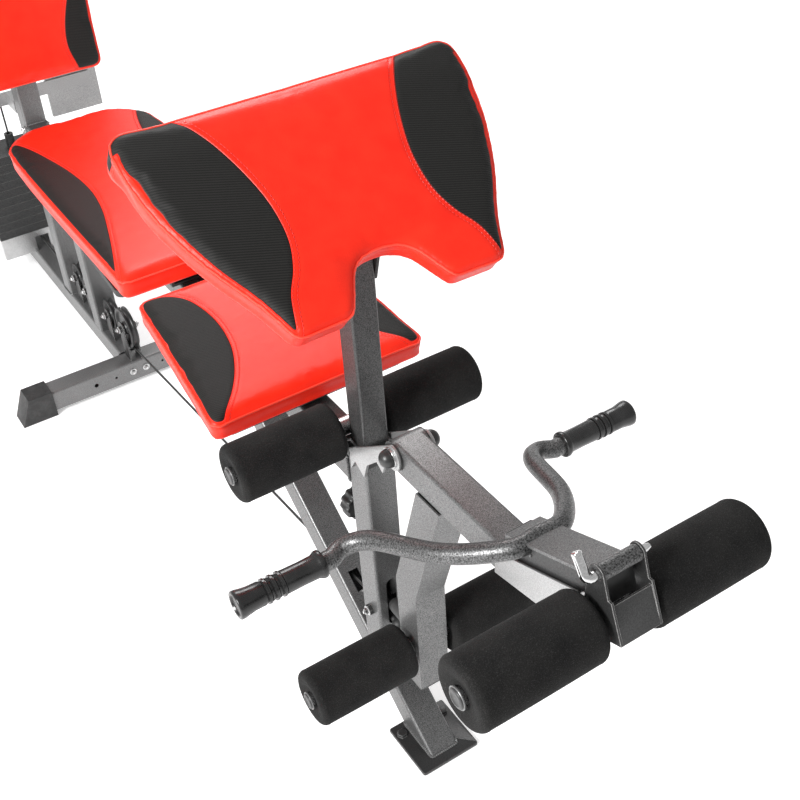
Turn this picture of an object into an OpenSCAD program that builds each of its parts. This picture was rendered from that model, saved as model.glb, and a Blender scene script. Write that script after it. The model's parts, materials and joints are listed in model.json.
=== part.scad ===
// Adjustable weight bench with a leg and arm-curl lever, a preacher pad on a telescopic post,
// two seat pads, a backrest and a cable-driven weight stack. Millimetres, +Z up.
// X runs across the bench, Y runs from the front (lever end, negative) to the back.
// The origin is on the floor, at the middle of the front foot plate.

/* [Frame tubes] */
// Width of the square frame tube
tube_w = 50; // [40:1:60]
// Wall of the frame tubes
tube_t = 2.5; // [1.5:0.5:4]
// Outer corner radius of the frame tubes
tube_r = 5; // [3:0.5:8]

/* [Front foot and leg] */
// Side of the square foot plate
foot_w = 104; // [80:1:140]
// Thickness of the foot plate
foot_t = 6; // [4:1:10]
// Slope of the leg tube above the floor, in degrees
leg_slope = 37.5; // [30:0.5:45]
// Height of the underside of the main beam
beam_z = 465; // [420:1:500]

/* [Front post] */
// Front face of the front post, along Y
post_y = 96; // [80:1:120]
// Top of the front post
post_top = 548; // [520:1:600]
// Height of the plastic collar
collar_h = 28; // [16:1:40]
// Wall of the collar outside the post
collar_t = 3; // [2:0.5:6]
// Width of the cable slot in the post
slot_w = 18; // [14:1:24]
// Lower end of the cable slot
slot_z0 = 190; // [160:1:210]
// Upper end of the cable slot
slot_z1 = 288; // [260:1:340]

/* [Main beam and column] */
// Front face of the rear column, along Y
column_y = 1575; // [1450:5:1700]
// Height of the rear column
column_h = 1340; // [1200:10:1500]
// Height of the underside of the floor rail
rail_z = 13; // [6:1:20]
// Front end of the floor rail
rail_y0 = 1257; // [1230:1:1262]
// Back end of the floor rail
rail_y1 = 2180; // [2150:5:2260]

/* [Stabilisers] */
// Length of the middle stabiliser, without caps
stab_len = 440; // [360:5:600]
// Length of the rear stabiliser, without caps
rear_stab_len = 520; // [400:5:700]
// Length that a rubber cap adds at each end
cap_len = 66; // [30:1:90]
// Height of a stabiliser tube above the floor
stab_z = 10; // [5:1:15]
// Radius of the holes in the middle stabiliser
stab_hole_r = 5; // [3:0.5:8]

/* [Lever pivot] */
// Pivot axis, along Y
pivot_y = 14; // [0:1:24]
// Pivot axis, height
pivot_z = 604; // [590:1:620]
// Radius of the pivot bolt
pivot_r = 8; // [6:0.5:10]
// Outer radius of the pivot sleeve
pivot_sleeve_r = 21; // [16:0.5:24]
// Thickness of each ear plate
ear_t = 4; // [3:0.5:6]
// Thickness of the plastic bushing flange
bush_t = 2; // [1:0.5:3]

/* [Lever arm] */
// Width of the lever tube
arm_w = 45; // [38:1:48]
// Height of the lever tube
arm_h = 50; // [40:1:60]
// Slope of the outer arm, in degrees
nose_slope = 22; // [15:1:30]
// Bend point of the arm's top, along Y
nose_y = -226; // [-240:1:-200]
// Height of the outer arm's top plate at the bend point
nose_z = 653; // [640:1:665]
// Length of the outer arm's top plate
nose_len = 168; // [150:1:200]
// Thickness of the top plate
nose_t = 4; // [3:0.5:6]
// Width of the inner black tube
slider_w = 40; // [34:1:42]
// Height of the inner black tube
slider_h = 32; // [26:1:36]

/* [Hanging tube] */
// Front face of the hanging tube, along Y
hang_y = -16; // [-24:1:-8]
// Height of the bend in the hanging tube
hang_bend_z = 355; // [320:1:390]
// Lower end of the hanging tube
hang_z0 = 158; // [140:1:180]
// Front edge of the hanging tube's top weld, along Y
hang_top_y = -88; // [-100:1:-70]
// Radius of the rubber stop
stop_r = 15; // [10:1:20]
// Height of the rubber stop above the floor
stop_z = 240; // [225:1:255]
// Gap between the rubber stop and the post
stop_gap = 0.5; // [0.3:0.1:2]

/* [Foam rollers] */
// Outer radius of a foam roller
roller_r = 43; // [35:1:50]
// Length of a foam roller
roller_len = 162; // [120:1:180]
// Distance from the middle plane to a roller
roller_x0 = 34; // [32:1:44]
// Radius of the roller shafts
shaft_r = 10; // [8:0.5:12]
// Radial clearance between a roller and its shaft
run_gap = 0.05; // [0.02:0.01:0.1]
// Thickness of the washer that keeps a roller off the frame
keeper_t = 3; // [2:0.5:5]
// Thickness of the cap on a shaft's end
shaft_cap_t = 5; // [3:0.5:8]
// Radius of the cap on a shaft's end
shaft_cap_r = 16; // [13:0.5:24]
// Knee rollers' axis, height
knee_z = 557; // [540:1:570]
// Wall of the welded sleeve that holds the knee shaft
knee_sleeve_t = 3; // [2:0.5:5]
// Shin rollers' axis, height
shin_z = 235; // [215:1:260]
// End rollers' axis, along Y
end_y = -378; // [-390:1:-370]
// End rollers' axis, height
end_z = 650; // [640:1:660]

/* [End yoke] */
// Yoke hinge and L-pin axis, along Y
yoke_y = -382; // [-390:1:-376]
// Yoke hinge and L-pin axis, height
yoke_z = 722; // [716:1:730]
// Inner half-width of the yoke
yoke_in = 25.5; // [23:0.5:27]
// Plate thickness of the yoke
yoke_t = 3; // [2:0.5:4]
// Height of the yoke's front plate
yoke_face_h = 46; // [36:1:56]
// Radius of the L-pin
lpin_r = 6; // [4:0.5:7]
// Outer radius of the L-pin's sleeve
lpin_sleeve_r = 10; // [9:0.5:11]
// Length of the L-pin's handle leg
lpin_leg = 32; // [20:1:45]

/* [Curl bar] */
// Radius of the curl bar
bar_r = 12.5; // [10:0.5:15]
// Outer radius of a hand grip
grip_r = 15.5; // [14:0.5:19]
// Length of a hand grip
grip_len = 118; // [100:1:140]
// Distance from the middle plane to a grip's inner end
grip_x0 = 184; // [170:1:200]
// Grip axis, along Y
grip_y = -72; // [-90:1:-60]
// Grip axis, height
grip_z = 575; // [560:1:590]

/* [Preacher pad] */
// Width of the preacher post
preacher_post_w = 40; // [34:1:43]
// Length of the preacher post
preacher_post_len = 520; // [460:5:560]
// Height of the top of the preacher post
preacher_post_top = 872; // [850:1:890]
// Front top edge of the preacher pad, along Y
preacher_y = -12; // [-30:1:10]
// Front top edge of the preacher pad, height
preacher_z = 852; // [840:1:870]
// Slope of the preacher pad, in degrees
preacher_slope = 35.6; // [30:0.2:42]
// Length of the preacher pad down its slope
preacher_len = 320; // [280:5:360]
// Half-width of the preacher pad at its front edge
preacher_front_w = 150; // [130:1:170]
// Half-width of the preacher pad at its widest
preacher_rear_w = 232; // [200:1:260]
// Thickness of the preacher pad
preacher_t = 48; // [36:1:60]
// Extra depth of the pad's rolled back edge
preacher_drop = 26; // [10:1:34]
// Length of the pad's rolled back edge
preacher_roll = 56; // [40:1:66]
// Half-width of the notch in the front edge
notch_w = 66; // [50:1:76]
// Depth of the notch in the front edge
notch_d = 64; // [50:1:80]
// Radius of the locking knob
knob_r = 28; // [20:1:32]
// Height of the locking knob
knob_z = 390; // [360:1:420]

/* [Seat pads] */
// Thickness of both seat pads
pad_t = 42; // [32:1:55]
// Thickness of the boards under the pads
board_t = 12; // [9:1:18]
// Front edge of the front seat, along Y
seat_y = 239; // [220:1:260]
// Height of the front seat's front edge
seat_z = 580; // [572:1:600]
// Slope of the front seat, in degrees
seat_slope = 8.4; // [4:0.2:12]
// Length of the front seat
seat_len = 318; // [280:1:340]
// Half-width of the front seat at its front edge
seat_front_w = 186; // [150:1:210]
// Half-width of the front seat at its back edge
seat_rear_w = 165; // [140:1:190]
// Front edge of the middle seat, along Y
bench_y = 612; // [600:1:640]
// Height of the middle seat
bench_z = 626; // [610:1:650]
// Length of the middle seat
bench_len = 694; // [500:5:720]
// Half-width of the middle seat
bench_w = 163; // [130:1:190]
// Half-width of the middle seat's straight back edge
bench_tail_w = 86; // [40:1:100]
// Share of the middle seat's length that has straight sides
bench_straight = 0.76; // [0.6:0.01:0.85]

/* [Backrest] */
// Back face of the backrest's board at its lower edge, along Y
back_y = 1532.4; // [1455:0.2:1534]
// Height of the backrest's lower edge
back_z = 634; // [620:1:680]
// Backward lean of the backrest, in degrees
back_lean = 4; // [0:0.5:5]
// Length of the backrest
back_len = 560; // [450:5:620]
// Half-width of the backrest
back_w = 160; // [130:1:190]

/* [Weight stack] */
// Middle of the weight stack, along Y
stack_y = 1900; // [1860:1:1940]
// Half-width of a weight plate
plate_w = 105; // [80:1:130]
// Depth of a weight plate
plate_d = 110; // [80:1:120]
// Thickness of a weight plate
plate_t = 22; // [16:1:28]
// Number of weight plates
plates = 10; // [4:1:12]
// Radius of a guide rod
rod_r = 9; // [7:0.5:11]
// Distance from the middle plane to a guide rod
rod_x = 55; // [40:1:70]
// Inner edge of a shroud panel, from the middle plane
shroud_x0 = 72; // [60:1:90]
// Outer edge of a shroud panel, from the middle plane
shroud_x1 = 196; // [150:1:220]
// Front face of the shroud panels, along Y
shroud_y = 1690; // [1670:1:1700]
// Lower edge of the shroud panels
shroud_z0 = 470; // [400:10:600]
// Height of the shroud panels
shroud_h = 720; // [500:10:760]

/* [Cable and pulleys] */
// Radius of the cable
cable_r = 2.5; // [1.5:0.5:3]
// Outer radius of the guide pulleys along the rail
guide_r = 36; // [30:1:40]
// Outer radius of the turning pulleys
pulley_r = 48; // [40:1:55]
// Width of a pulley
pulley_w = 18; // [14:1:22]
// Depth of a pulley's groove
groove_d = 5; // [4:0.5:7]
// Clearance between the cable and a groove
cable_gap = 0.4; // [0.2:0.1:1]
// Height of the cable above the rail
cable_z = 95; // [88:1:100]
// Distance between the last two guide pulleys
guide_pitch = 76; // [74:1:82]
// Radius of the pulley axles
axle_r = 5; // [4:0.5:6]
// Radius of the low pulley in the front post
low_pulley_r = 20; // [16:1:22]

/* [Hidden] */
$fn = 64;
// clearance between pieces that move past each other
gap = 0.5;
half = tube_w / 2;
post_mid = post_y + half;
leg_slope_t = tan(leg_slope);
leg_half_v = half / cos(leg_slope);
leg_top = (beam_z + leg_half_v) / leg_slope_t;
beam_y0 = post_y + tube_w;
beam_top = beam_z + tube_w;
beam_y1 = column_y;
rail_top = rail_z + tube_w;
knee_y = post_y + tube_w + shaft_r + knee_sleeve_t;
shin_y = hang_y + half;
arm_top = pivot_z + pivot_sleeve_r;
arm_low = arm_top - arm_h;
sleeve_len = tube_w - 2 * bush_t - gap;
shaft_len = 2 * (roller_x0 + roller_len) + 2 * gap;
nose_dir = [0, -cos(nose_slope), sin(nose_slope)];
low_pulley_z = slot_z0 + 26;
cable_front_z = low_pulley_z - low_pulley_r + groove_d - cable_r - cable_gap;
turn_r = pulley_r - groove_d + cable_r + cable_gap;
front_pulley_y = rail_y0 - half - 4;
front_pulley_z = cable_z + turn_r;
guide_z = cable_z + guide_r - groove_d + cable_r + cable_gap;
guide_first_y = front_pulley_y + pulley_r + guide_r + 12;
strut_y = guide_first_y + guide_r + 5 + half;
guide_second_y = strut_y + half + 5 + guide_r;
guide_ys = [guide_first_y, guide_second_y, guide_second_y + guide_pitch];
stack_z = cable_z + 26;
plates_top = stack_z + plates * plate_t;
back_face_y = back_y - pad_t - 0.4 - board_t;
column_top = column_h;
top_plate_t = 8;
base_pulley_y = stack_y + turn_r + 170;
base_pulley_z = cable_z + turn_r;
rise_y = base_pulley_y + turn_r;
top_pulley_z = column_top - pulley_r - 8;
arm_y0 = nose_y - 10;
bar_mid_y = -254;
bar_mid_z = 659;
stem_r = 11;
stem_bore_r = 5;
pin_hole_r = 4;
pin_plate = 4;
bracket_x = pulley_w / 2 + 2;
bracket_t = 3;
// height of the cable where it passes through the leg tube
leg_cable_z = cable_front_z - 8;
// the shaft's inner washer starts here on the frame tube and on the yoke
tube_keeper_x = half + 0.1;
yoke_keeper_x = yoke_in + yoke_t + 0.1;

// ---------- shared shapes ----------

module round_square(w, h, r) {
  square([w - 2 * r, h], center = true);
  square([w, h - 2 * r], center = true);
  for (sx = [-1, 1], sy = [-1, 1])
    translate([sx * (w / 2 - r), sy * (h / 2 - r)]) circle(r = r, $fn = 24);
}

// hollow tube profile
module tube_profile(w = tube_w, h = tube_w, t = tube_t, r = tube_r) {
  difference() {
    round_square(w, h, r);
    round_square(w - 2 * t, h - 2 * t, r - t / 2);
  }
}

// lays a shape that is drawn along +Z along the slope a, starting from p, towards +Y
module along_y(p, a = 0) {
  translate(p) rotate([a - 90, 0, 0]) children();
}

module along_x(p) {
  translate(p) rotate([0, 90, 0]) children();
}

module tube_y(p, len, a = 0, w = tube_w, h = tube_w, t = tube_t, r = tube_r) {
  along_y(p, a) linear_extrude(len) tube_profile(w, h, t, r);
}

module tube_z(p, len, w = tube_w, h = tube_w, t = tube_t, r = tube_r) {
  translate(p) linear_extrude(len) tube_profile(w, h, t, r);
}

module tube_x(p, len, w = tube_w, h = tube_w, t = tube_t, r = tube_r) {
  along_x(p - [len / 2, 0, 0]) linear_extrude(len) tube_profile(w, h, t, r);
}

// round bar across the bench, centred on the middle plane
module bar_x(y, z, r, len) {
  along_x([-len / 2, y, z]) cylinder(r = r, h = len);
}

module ring_x(x, y, z, r, bore, len) {
  along_x([x, y, z]) difference() {
    cylinder(r = r, h = len);
    translate([0, 0, -1]) cylinder(r = bore, h = len + 2);
  }
}

// plate with its outline in the YZ plane
module side_plate(x, t, points) {
  translate([x, 0, 0]) rotate([90, 0, 90]) linear_extrude(t) polygon(points);
}

function arc(c, r, a0, a1, n = 8) =
  [for (i = [0:n]) [c[0] + r * cos(a0 + (a1 - a0) * i / n), c[1] + r * sin(a0 + (a1 - a0) * i / n)]];

// pad outline: x across, y from the front edge to the back edge, rounded corners
function pad_outline(wf, wr, len, r) = concat(
  arc([wr - r, len - r], r, 0, 90), arc([-wr + r, len - r], r, 90, 180),
  arc([-wf + r, r], r, 180, 270), arc([wf - r, r], r, 270, 360));

function unit(v) = v / norm(v);
// direction of a line at point i, from its neighbours
function line_dir(p, i) = unit(p[min(i + 1, len(p) - 1)] - p[max(i - 1, 0)]);
// point between b and c on a smooth curve through a, b, c and d
function between(a, b, c, d, t) =
  0.5 * (2 * b + (c - a) * t + (2 * a - 5 * b + 4 * c - d) * t * t + (3 * b - a - 3 * c + d) * t * t * t);
// smooth curve through all points, n steps between each pair
function smooth(p, n) = let (m = len(p) - 1) concat(
  [for (i = [0:m - 1], k = [0:n - 1]) between(p[max(i - 1, 0)], p[i], p[i + 1], p[min(i + 2, m)], k / n)], [p[m]]);

// sweeps a round section along a 3-D line: one ring of k points for each point of the line
module sweep(line, r, k, ref) {
  n = len(line);
  rings = [for (i = [0:n - 1], j = [0:k - 1])
    let (d = line_dir(line, i), u = unit(cross(d, ref)), v = cross(d, u), a = 360 * j / k)
    line[i] + r * cos(a) * u + r * sin(a) * v];
  sides = [for (i = [0:n - 2], j = [0:k - 1])
    [i * k + j, (i + 1) * k + j, (i + 1) * k + (j + 1) % k, i * k + (j + 1) % k]];
  polyhedron(rings, concat([[for (j = [0:k - 1]) j]], sides, [[for (j = [k - 1:-1:0]) (n - 1) * k + j]]));
}

module mirror_x() {
  children();
  mirror([1, 0, 0]) children();
}

// ---------- frame ----------

module front_foot_plate() {
  color("dimgray") {
    linear_extrude(foot_t) round_square(foot_w, foot_w, 4);
    for (sx = [-1, 1]) translate([sx * foot_w * 0.38, foot_w * 0.3, foot_t])
      cylinder(r = foot_w * 0.08, h = 5, $fn = 6);
  }
}

module leg_outer() {
  along_y([0, 0, 0], leg_slope) translate([0, 0, -80]) linear_extrude(1000) round_square(tube_w, tube_w, tube_r);
}

module front_leg() {
  color("slategray") difference() {
    along_y([0, 0, 0], leg_slope) translate([0, 0, -80]) linear_extrude(980) tube_profile();
    // mitres at the foot plate and under the beam
    translate([-100, -300, -200]) cube([200, 900, 200 + foot_t]);
    translate([-100, 200, beam_z]) cube([200, 900, 400]);
    // the cable passes through the top and bottom walls
    translate([-slot_w / 2, (leg_cable_z - leg_half_v) / leg_slope_t - 20, leg_cable_z - 12])
      cube([slot_w, 2 * leg_half_v / leg_slope_t + 40, 24]);
  }
}

module front_post() {
  color("slategray") difference() {
    tube_z([0, post_mid, 60], post_top - 60);
    leg_outer();
    translate([-slot_w / 2, post_y - 1, slot_z0 + slot_w / 2])
      cube([slot_w, tube_w + 2, slot_z1 - slot_z0 - slot_w]);
    for (z = [slot_z0 + slot_w / 2, slot_z1 - slot_w / 2])
      along_y([0, post_y - 1, z]) cylinder(r = slot_w / 2, h = tube_w + 2);
    // opening towards the cable behind
    translate([-slot_w / 2, post_mid, cable_front_z - 14]) cube([slot_w, half + 1, 40]);
    // hole for the locking knob's screw
    along_y([0, post_mid, knob_z]) cylinder(r = 5, h = tube_w);
    // hole for the low pulley's axle
    bar_x(post_mid, low_pulley_z, axle_r, tube_w + 4);
  }
}

module post_collar() {
  color("black") difference() {
    translate([0, post_mid, post_top - collar_h + collar_t])
      linear_extrude(collar_h) round_square(tube_w + 2 * collar_t, tube_w + 2 * collar_t, tube_r + 1);
    translate([0, post_mid, post_top - collar_h - 1])
      linear_extrude(collar_h + 1) round_square(tube_w, tube_w, tube_r);
    translate([0, post_mid, post_top - 1])
      linear_extrude(collar_h) round_square(preacher_post_w + 2 * gap, preacher_post_w + 2 * gap, tube_r);
    // room for the main beam behind
    translate([-tube_w, beam_y0, 0]) cube([2 * tube_w, tube_w, beam_top]);
    // room for the knee shaft and its washers
    bar_x(knee_y, knee_z, shaft_r + 5.2, 2 * tube_w);
    // room for the ear plates on both sides
    for (s = [-1, 1]) translate([s * (half + ear_t / 2), post_mid - 14, post_top])
      cube([ear_t + 0.2, tube_w + 2, 3 * collar_h], center = true);
  }
}

module main_beam() {
  color("slategray") tube_y([0, beam_y0, beam_z + half], beam_y1 - beam_y0);
}

module middle_strut() {
  color("slategray") difference() {
    tube_z([0, strut_y, rail_top], beam_z - rail_top);
    // the cable passes through
    translate([-slot_w / 2, strut_y - half - 1, cable_z - 14]) cube([slot_w, tube_w + 2, 28]);
  }
}

module floor_rail() {
  color("lightslategray") tube_y([0, rail_y0, rail_z + half], rail_y1 - rail_y0);
}

module middle_stabilizer() {
  color("lightslategray") difference() {
    tube_x([0, rail_y0 - half, stab_z + half], stab_len);
    for (sx = [-1, 1], p = [[0.24, stab_hole_r], [0.13, stab_hole_r * 0.6]])
      along_y([sx * stab_len * p[0], rail_y0 - tube_w - 1, stab_z + half]) cylinder(r = p[1], h = tube_w + 2);
  }
}

module rear_stabilizer() {
  color("lightslategray") tube_x([0, rail_y1 + half, stab_z + half], rear_stab_len);
}

module stabilizer_cap(y, len) {
  points = [[y - half - 3, 0], [y + half + 3, 0], [y + half + 3, stab_z + tube_w + 3],
    [y - half - 3, stab_z + tube_w + 3]];
  mirror_x() difference() {
    side_plate(len / 2 - 14, cap_len + 14, points);
    translate([len / 2 - 15, y, stab_z + half]) rotate([0, 90, 0])
      linear_extrude(15) round_square(tube_w, tube_w, tube_r);
    // the outer end slopes inwards towards the top
    translate([len / 2 + cap_len, y, 0]) rotate([0, -22, 0]) translate([0, -tube_w, 0])
      cube([cap_len, 2 * tube_w, 3 * tube_w]);
  }
}

module stabilizer_caps() {
  color("black") {
    stabilizer_cap(rail_y0 - half, stab_len);
    stabilizer_cap(rail_y1 + half, rear_stab_len);
  }
}

module rear_column() {
  color("slategray") difference() {
    tube_z([0, column_y + half, rail_top], column_top - rail_top);
    // the cable passes through
    translate([-slot_w / 2, column_y - 1, cable_z - 14]) cube([slot_w, tube_w + 2, 28]);
  }
}

module top_beam() {
  color("slategray") difference() {
    translate([-half, column_y - 10, column_top])
      cube([tube_w, base_pulley_y + pulley_r + 20 - column_y, top_plate_t]);
    for (s = [-1, 1]) translate([s * rod_x, stack_y, column_top - 1]) cylinder(r = rod_r, h = top_plate_t + 2);
  }
  color("slategray") for (s = [-1, 1])
    translate([s * (half + 15), stack_y, column_top + top_plate_t / 2]) difference() {
    cube([30, 60, top_plate_t], center = true);
    translate([s * (rod_x - half - 15), 0, -10]) cylinder(r = rod_r, h = 20);
  }
}

// ---------- lever pivot ----------

module pivot_ears() {
  points = concat(
    [[post_y + 34, post_top - 44], [post_y + 34, post_top - 6], [post_y + 4, post_top + 14]],
    arc([pivot_y, pivot_z], pivot_sleeve_r - 1, 90, 270, 12),
    [[pivot_y + 18, pivot_z - 26], [pivot_y + 26, pivot_z - 46], [pivot_y + 40, pivot_z - 36],
     [post_y - 14, pivot_z - 62], [post_y - 2, pivot_z - 92], [post_y + 20, pivot_z - 78]]);
  color("silver") mirror_x() difference() {
    side_plate(half, ear_t, points);
    bar_x(pivot_y, pivot_z, pivot_r, 200);
  }
}

module pivot_bolt() {
  color("silver") {
    bar_x(pivot_y, pivot_z, pivot_r - run_gap, tube_w + 2 * ear_t + 8);
    mirror_x() along_x([half + ear_t, pivot_y, pivot_z]) cylinder(r = 15, h = 3.6);
  }
  color("black") mirror_x() along_x([half + ear_t + 3.6, pivot_y, pivot_z]) {
    cylinder(r = 11, h = 10, $fn = 6);
    cylinder(r = 10, h = 13);
  }
}

module pivot_bushings() {
  color("black") mirror_x() ring_x(sleeve_len / 2, pivot_y, pivot_z, pivot_sleeve_r, pivot_r, bush_t);
}

// ---------- lever ----------

module lever_arm() {
  color("gray") difference() {
    union() {
      difference() {
        tube_y([0, arm_y0, arm_low + arm_h / 2], pivot_y - arm_y0, 0, arm_w, arm_h);
        bar_x(pivot_y, pivot_z, pivot_sleeve_r - 1, arm_w + 2);
      }
      bar_x(pivot_y, pivot_z, pivot_sleeve_r, sleeve_len);
      // end plate
      along_y([0, arm_y0 + 0.5, arm_low + arm_h / 2])
        linear_extrude(3) round_square(arm_w - tube_t, arm_h - tube_t, tube_r - 1);
    }
    bar_x(pivot_y, pivot_z, pivot_r, tube_w);
    // the outer arm's tube passes through the end
    on_nose(nose_t + slider_h / 2) translate([0, 0, -12])
      linear_extrude(tube_w) square([slider_w + 0.2, slider_h + 0.1], center = true);
  }
}

// places a shape that is drawn along +Z from the bend point down the outer arm's slope
module on_nose(depth) {
  translate([0, nose_y, nose_z]) rotate([90 - nose_slope, 0, 0]) translate([0, -depth, 0]) children();
}

module lever_top_plate() {
  color("gray") difference() {
    on_nose(nose_t / 2) translate([0, 0, nose_len / 2 - 12]) cube([tube_w, nose_t, nose_len - 24], center = true);
    bar_sweep();
  }
}

module lever_slider() {
  color("black") difference() {
    on_nose(nose_t + slider_h / 2) translate([0, 0, -10])
      linear_extrude(nose_len + 4) tube_profile(slider_w, slider_h, 2, 3);
    bar_sweep();
  }
}

module lever_plugs() {
  color("black") {
    on_nose(nose_t + slider_h / 2) translate([0, 0, nose_len - 6]) {
      linear_extrude(3) round_square(slider_w, slider_h, 3);
      translate([0, 0, -10]) linear_extrude(10) round_square(slider_w - 4.2, slider_h - 4.2, 2);
    }
    translate([0, hang_y + half, hang_z0 - 3]) {
      linear_extrude(3) round_square(tube_w, tube_w, tube_r);
      linear_extrude(18) round_square(tube_w - 2 * tube_t - 0.4, tube_w - 2 * tube_t - 0.4, tube_r - 1);
    }
  }
}

module lever_saddle() {
  depth = nose_t + slider_h;
  lip = 4;
  up = [sin(nose_slope), cos(nose_slope)];
  dir = [-cos(nose_slope), sin(nose_slope)];
  base = [nose_y, nose_z] - depth * up;
  far = base + (nose_len - 46) * dir;
  color("silver") {
    mirror_x() side_plate(arm_w / 2, 3, [
      [nose_y + 20, arm_low], [far[0] + 34, arm_low + 22], far - 12 * up, far + lip * up,
      base - 34 * dir + lip * up]);
    difference() {
      on_nose(depth + 3) translate([-arm_w / 2, 0, -10]) cube([arm_w, 3, nose_len - 40]);
      translate([-tube_w, arm_y0, arm_low - arm_h]) cube([2 * tube_w, arm_h, 2 * arm_h]);
    }
  }
}

// outline of the bent tube in the YZ plane, drawn in by t from its walls
function hang_outline(t, top) =
  let (rise = arm_low - hang_bend_z, slope = (hang_y - hang_top_y) / rise, in = t / cos(atan(slope)),
    shift = t * tan(atan(slope) / 2))
  [[hang_y + t, hang_z0 - (t > 0 ? 1 : 0)], [hang_y + tube_w - t, hang_z0 - (t > 0 ? 1 : 0)],
   [hang_y + tube_w - t, hang_bend_z + tube_w * tan(atan(slope) / 2) - shift],
   [hang_top_y + tube_w / cos(atan(slope)) - in - slope * (top - arm_low), top],
   [hang_top_y + in - slope * (top - arm_low), top], [hang_y + t, hang_bend_z + shift]];

module hanging_tube() {
  color("silver") difference() {
    side_plate(-half, tube_w, hang_outline(0, arm_low));
    side_plate(-half + tube_t, tube_w - 2 * tube_t, hang_outline(tube_t, arm_low + 1));
    bar_x(shin_y, shin_z, shaft_r, tube_w + 2);
  }
}

module rubber_stop() {
  color("dimgray") along_y([0, hang_y + tube_w, stop_z])
    cylinder(r = stop_r, h = post_y - hang_y - tube_w - stop_gap);
}

// one roller shaft, with keeper washers beside the middle piece and a cap at each end
module shaft(y, z, keeper_x) {
  bar_x(y, z, shaft_r, shaft_len);
  mirror_x() {
    ring_x(keeper_x, y, z, shaft_r + 5, shaft_r - 0.1, roller_x0 - gap - keeper_x);
    along_x([shaft_len / 2, y, z]) {
      cylinder(r = shaft_cap_r, h = shaft_cap_t - 2);
      cylinder(r = 8, h = shaft_cap_t, $fn = 6);
    }
  }
}

module foam_roller(y, z, side) {
  x = side > 0 ? roller_x0 : -roller_x0 - roller_len;
  color("#222222") ring_x(x, y, z, roller_r, shaft_r + run_gap, roller_len);
}

module knee_shaft() {
  color("silver") shaft(knee_y, knee_z, tube_keeper_x);
  color("slategray") ring_x(-half, knee_y, knee_z, shaft_r + knee_sleeve_t, shaft_r - 0.1, tube_w);
}

module knee_roller_left() {
  foam_roller(knee_y, knee_z, -1);
}

module knee_roller_right() {
  foam_roller(knee_y, knee_z, 1);
}

module shin_shaft() {
  color("silver") shaft(shin_y, shin_z, tube_keeper_x);
}

module shin_roller_left() {
  foam_roller(shin_y, shin_z, -1);
}

module shin_roller_right() {
  foam_roller(shin_y, shin_z, 1);
}

module end_shaft() {
  color("silver") shaft(end_y, end_z, yoke_keeper_x);
}

module end_roller_left() {
  foam_roller(end_y, end_z, -1);
}

module end_roller_right() {
  foam_roller(end_y, end_z, 1);
}

// ---------- end yoke and L-pin ----------

module end_yoke() {
  face = [[-403, 694], [-422, 694 - yoke_face_h * 0.93]];
  ear = [yoke_y, yoke_z];
  side = concat(arc(ear, lpin_sleeve_r + 2, 140, 0, 8),
    arc([end_y, end_z], shaft_r + 5, 0, -100, 6),
    [face[1], face[1] + [-3, 1], face[0] + [-3, 6], face[0] + [2, 6]]);
  color("#2a2a2c") difference() {
    union() {
      mirror_x() side_plate(yoke_in, yoke_t, side);
      side_plate(-yoke_in - yoke_t, 2 * (yoke_in + yoke_t),
        [face[0], face[0] + [-3, 1], face[1] + [-3, 1], face[1]]);
    }
    bar_x(yoke_y, yoke_z, lpin_r + run_gap, 100);
    bar_x(end_y, end_z, shaft_r, 100);
  }
}

module pin_sleeve() {
  color("silver") difference() {
    union() {
      bar_x(yoke_y, yoke_z, lpin_sleeve_r, 2 * yoke_in - 2 * gap);
      translate([-12, yoke_y - 3, yoke_z - 18]) cube([24, 6, 14]);
    }
    bar_x(yoke_y, yoke_z, lpin_r + run_gap, 100);
    on_nose(nose_t / 2 + 30) translate([-50, 0, -20]) cube([100, 30 + nose_t / 2, nose_len + 100]);
  }
}

module l_pin() {
  x0 = -yoke_in - yoke_t - 13;
  color("gainsboro") {
    along_x([x0, yoke_y, yoke_z]) cylinder(r = lpin_r, h = 2 * (yoke_in + yoke_t) + 26);
    translate([x0, yoke_y, yoke_z]) sphere(r = lpin_r);
    translate([x0, yoke_y, yoke_z]) rotate([-35, 0, 0]) cylinder(r = lpin_r, h = lpin_leg);
  }
}

// ---------- curl bar ----------

// right half of the bar's bends, from the arm to the grip's end
bar_bends = [[0, bar_mid_y, bar_mid_z], [38, bar_mid_y + 4, bar_mid_z - 3], [87, -188, 628], [122, -92, 593],
  [150, grip_y + 6, grip_z + 3], [grip_x0 - 12, grip_y, grip_z], [grip_x0, grip_y, grip_z],
  [grip_x0 + grip_len - 6, grip_y, grip_z]];
bar_points = concat([for (i = [len(bar_bends) - 1:-1:1]) [-bar_bends[i][0], bar_bends[i][1], bar_bends[i][2]]],
  bar_bends);

module bar_sweep() {
  sweep(smooth(bar_points, 5), bar_r, 20, [0, 0, 1]);
}

module curl_bar() {
  color("gray") bar_sweep();
}

module curl_grips() {
  color("black") mirror_x() along_x([grip_x0, grip_y, grip_z]) difference() {
    union() {
      cylinder(r = grip_r, h = grip_len);
      cylinder(r = grip_r + 2, h = 10);
    }
    translate([0, 0, -1]) cylinder(r = bar_r, h = grip_len - 4);
  }
}

// ---------- preacher pad ----------

module preacher_post() {
  z0 = preacher_post_top - preacher_post_len;
  color("gray") difference() {
    tube_z([0, post_mid, z0], preacher_post_len, preacher_post_w, preacher_post_w, 2, 4);
    above_preacher(preacher_t + 0.4 + board_t);
  }
}

// draws on the pad's sloping top face: x across, y up the slope, z out of the face
module on_preacher() {
  translate([0, preacher_y, preacher_z]) rotate([preacher_slope, 0, 0]) children();
}

// everything from depth d below the pad's top face upwards
module above_preacher(d) {
  on_preacher() translate([-300, -100, -d]) cube([600, 600, 200]);
}

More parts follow.
